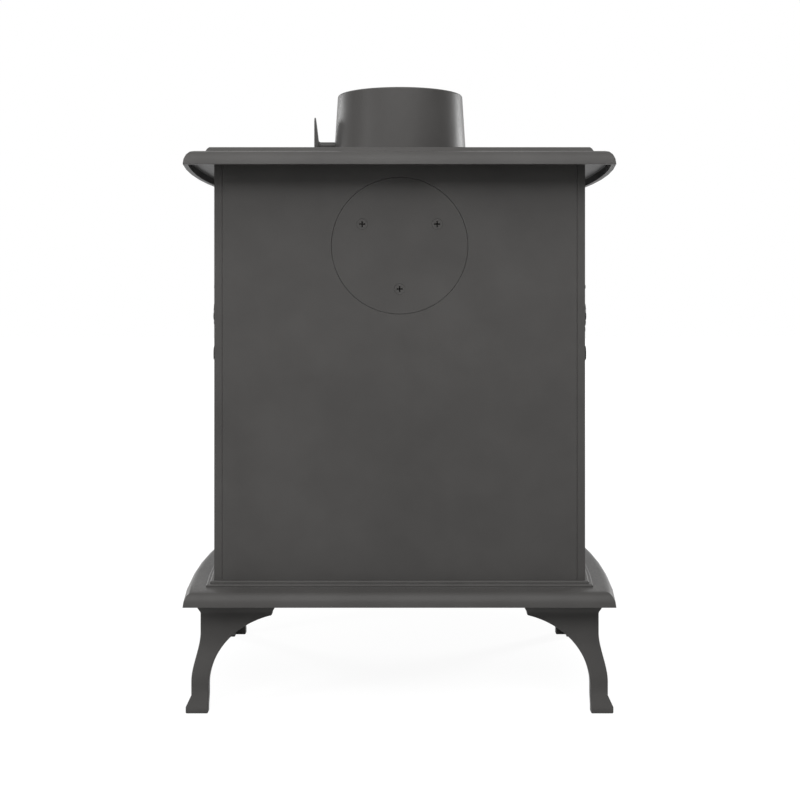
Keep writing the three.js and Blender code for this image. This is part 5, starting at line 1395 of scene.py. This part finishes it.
class STOVE_OT_door_fittings(bpy.types.Operator):
    """Makes the handle, the latch and the hinge pins"""

    bl_idname = "stove.door_fittings"
    bl_label = "Door fittings"

    def execute(self, context):
        edges = context.scene.stove_edges
        softened("door_handle", edges.casting, 4)
        softened("door_latch", edges.casting)
        for node in ("hinge_pin_bottom", "hinge_pin_top"):
            softened(node, edges.steel, circles=[(middle_of(node), Z, MEDIUM_CIRCLE)])
        return {"FINISHED"}


# Ash drawer and air controls


class STOVE_OT_drawer(bpy.types.Operator):
    """Makes the ash drawer's front and its pan"""

    bl_idname = "stove.drawer"
    bl_label = "Ash drawer"

    def execute(self, context):
        edges = context.scene.stove_edges
        softened("ash_drawer_front", edges.casting)
        softened("ash_pan", edges.sheet, 2)
        return {"FINISHED"}


class STOVE_OT_air_controls(bpy.types.Operator):
    """Makes the air wheel on its stud, and the airwash slide with its knob"""

    bl_idname = "stove.air_controls"
    bl_label = "Air controls"

    def execute(self, context):
        edges = context.scene.stove_edges
        wheel = (wheel_middle, Y, LARGE_CIRCLE)
        softened("air_wheel", edges.steel, circles=[wheel])
        softened("air_wheel_stud", edges.steel, circles=[(wheel_middle, Y, MEDIUM_CIRCLE)])
        softened("airwash_slide", edges.sheet)
        knob = middle_of("airwash_knob")
        softened("airwash_knob", edges.steel, circles=[(knob, Y, MEDIUM_CIRCLE)])
        return {"FINISHED"}


# Fire bed


class STOVE_OT_fire_bed(bpy.types.Operator):
    """Makes the grate, its riddling disc, rod and knob, and the log guard"""

    bl_idname = "stove.fire_bed"
    bl_label = "Fire bed"

    def execute(self, context):
        edges = context.scene.stove_edges
        disc = middle_of("grate_disc")
        softened("grate_frame", edges.casting / 2, circles=[(disc, Z, LARGE_CIRCLE)])
        softened("grate_disc", edges.casting / 2, circles=[(disc, Z, LARGE_CIRCLE)])
        softened("riddling_rod", edges.steel)
        softened("riddling_knob", edges.steel)
        softened("log_guard", edges.casting / 2)
        return {"FINISHED"}


class STOVE_OT_bricks(bpy.types.Operator):
    """Makes the fire bricks"""

    bl_idname = "stove.bricks"
    bl_label = "Fire bricks"

    def execute(self, context):
        for node in ("brick_right", "brick_left", "brick_rear"):
            softened(node, context.scene.stove_edges.brick)
        return {"FINISHED"}


class STOVE_OT_baffle(bpy.types.Operator):
    """Makes the baffle plate over the fire"""

    bl_idname = "stove.baffle"
    bl_label = "Baffle"

    def execute(self, context):
        softened("baffle_plate", context.scene.stove_edges.casting)
        return {"FINISHED"}


# The studio

FLOOR_REACH = 12.0
FLOOR_GREY = 0.55
# The floor's white in reflections and to the camera: its strength, its share near the stove, and
# the distances in metres between which it rises to the whole
WHITE_STRENGTH = 1.14
NEAR_WHITE_SHARE = 0.82
WHITE_FROM = 0.8
WHITE_TO = 3.0
# Name, width and height in metres, power in watts, place from the stove's middle
LAMPS = (
    ("lamp_top", (2.2, 0.8), 30, (0, 1.0, 1.75)),
    ("lamp_front", (2.4, 0.9), 42, (0, 1.85, 1.35)),
    ("lamp_key", (0.25, 0.7), 14, (1.7, 1.1, 0.55)),
    ("lamp_rim_right", (0.3, 0.5), 19, (-1.35, -1.05, 0.42)),
    ("lamp_rim_left", (0.25, 0.5), 12, (1.3, -1.2, 0.42)),
)


def background_ray(tree):
    """One for rays from the camera, a mirror or glass, which see the background as white."""
    path = tree.nodes.new("ShaderNodeLightPath")
    seen = maths(tree, "MAXIMUM", path.outputs["Is Camera Ray"], path.outputs["Is Glossy Ray"])
    return maths(tree, "MAXIMUM", seen, path.outputs["Is Transmission Ray"])


def pale_material():
    """White to the camera and in reflections far from the stove, and shaded near to it."""
    material, tree, shader = blank_material("studio_white")
    output = tree.nodes["Material Output"]
    feed(tree, shader, {"Base Color": grey(FLOOR_GREY), "Roughness": 1, "Specular IOR Level": 0})
    distance = add(
        tree, "ShaderNodeVectorMath", {0: object_place(tree)}, operation="LENGTH"
    ).outputs["Value"]
    white = add(
        tree, "ShaderNodeMapRange",
        {"Value": distance, "From Min": WHITE_FROM, "From Max": WHITE_TO, "To Min": NEAR_WHITE_SHARE},
    ).outputs["Result"]
    share = times(tree, background_ray(tree), white)
    glow = add(tree, "ShaderNodeEmission", {"Color": grey(1), "Strength": WHITE_STRENGTH})
    mixed = add(
        tree, "ShaderNodeMixShader", {0: share, 1: shader.outputs["BSDF"], 2: glow.outputs["Emission"]}
    )
    tree.links.new(mixed.outputs["Shader"], output.inputs["Surface"])
    return material


def area_lamp(name, size, power, place, target):
    data = bpy.data.lights.new(name, "AREA")
    data.shape = "RECTANGLE"
    data.size, data.size_y = size
    data.energy = power
    lamp = bpy.data.objects.new(name, data)
    bpy.context.scene.collection.objects.link(lamp)
    lamp.location = place
    aim = Vector(target) - Vector(place)
    lamp.rotation_euler = aim.to_track_quat("-Z", "Y").to_euler()
    return lamp


def pale_world(ambient):
    world = bpy.data.worlds.new("studio_world")
    world.use_nodes = True
    tree = world.node_tree
    tree.nodes.clear()
    output = tree.nodes.new("ShaderNodeOutputWorld")
    white = add(tree, "ShaderNodeBackground", {"Color": grey(1), "Strength": 1.0})
    soft = add(tree, "ShaderNodeBackground", {"Color": grey(1), "Strength": ambient})
    mixed = add(
        tree, "ShaderNodeMixShader", {0: background_ray(tree), 1: soft.outputs[0], 2: white.outputs[0]}
    )
    tree.links.new(mixed.outputs[0], output.inputs["Surface"])
    return world


class STOVE_OT_studio(bpy.types.Operator):
    """Sets up the pale floor, the soft lamps, the world and the camera"""

    bl_idname = "stove.studio"
    bl_label = "Studio"

    def execute(self, context):
        studio = context.scene.stove_studio
        context.scene.view_settings.view_transform = "Standard"
        bm = bmesh.new()
        bmesh.ops.create_grid(bm, x_segments=1, y_segments=1, size=FLOOR_REACH)
        floor = new_object("studio_floor", mesh_of(bm, "studio_floor"))
        floor.data.materials.append(pale_material())
        floor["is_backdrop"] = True
        context.scene.world = pale_world(studio.ambient)
        middle = (cad_box[0] + cad_box[1]) / 2
        for name, size, power, place in LAMPS:
            area_lamp(name, size, power, middle + Vector(place), middle)
        self.place_camera(context.scene, studio)
        return {"FINISHED"}

    def place_camera(self, scene, studio):
        data = bpy.data.cameras.new("camera")
        data.lens = studio.lens
        data.shift_x, data.shift_y = studio.shift
        camera = bpy.data.objects.new("camera", data)
        scene.collection.objects.link(camera)
        rear = cad_box[1].y
        camera.location = (studio.camera_side, rear + studio.camera_distance, studio.camera_height)
        camera.rotation_euler = (TURN / 4, 0, TURN / 2)
        scene.camera = camera


OPERATORS = (
    STOVE_OT_plates,
    STOVE_OT_walls,
    STOVE_OT_outlet,
    STOVE_OT_ornament,
    STOVE_OT_legs,
    STOVE_OT_bolts,
    STOVE_OT_collar,
    STOVE_OT_collar_screws,
    STOVE_OT_damper,
    STOVE_OT_door,
    STOVE_OT_window,
    STOVE_OT_door_rope,
    STOVE_OT_door_fittings,
    STOVE_OT_drawer,
    STOVE_OT_air_controls,
    STOVE_OT_fire_bed,
    STOVE_OT_bricks,
    STOVE_OT_baffle,
    STOVE_OT_studio,
)
SETTINGS = {
    "stove_finishes": StoveFinishes,
    "stove_edges": StoveEdges,
    "stove_legs": StoveLegs,
    "stove_collar": StoveCollar,
    "stove_ornament": StoveOrnament,
    "stove_fasteners": StoveFasteners,
    "stove_rope": StoveRope,
    "stove_studio": StoveStudio,
}


class STOVE_PT_panel(bpy.types.Panel):
    """Lists the stove's settings and operators"""

    bl_idname = "STOVE_PT_panel"
    bl_label = "Cast iron stove"
    bl_space_type = "VIEW_3D"
    bl_region_type = "UI"
    bl_category = "Stove"

    def draw(self, context):
        for name, group in SETTINGS.items():
            box = self.layout.box()
            box.label(text=group.__doc__)
            for key in group.__annotations__:
                box.prop(getattr(context.scene, name), key)
        for operator in OPERATORS:
            self.layout.operator(operator.bl_idname)


def register():
    for cls in (*SETTINGS.values(), *OPERATORS, STOVE_PT_panel):
        bpy.utils.register_class(cls)
    for name, group in SETTINGS.items():
        setattr(bpy.types.Scene, name, bpy.props.PointerProperty(type=group))


def unregister():
    for name in SETTINGS:
        delattr(bpy.types.Scene, name)
    for cls in reversed((*SETTINGS.values(), *OPERATORS, STOVE_PT_panel)):
        bpy.utils.unregister_class(cls)


def main():
    register()
    for operator in OPERATORS:
        group, name = operator.bl_idname.split(".")
        getattr(getattr(bpy.ops, group), name)()
    boxes = {"cad": cad_box, "visual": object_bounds()}
    plain = {key: [list(corner) for corner in box] for key, box in boxes.items()}


if __name__ == "__main__":
    main()
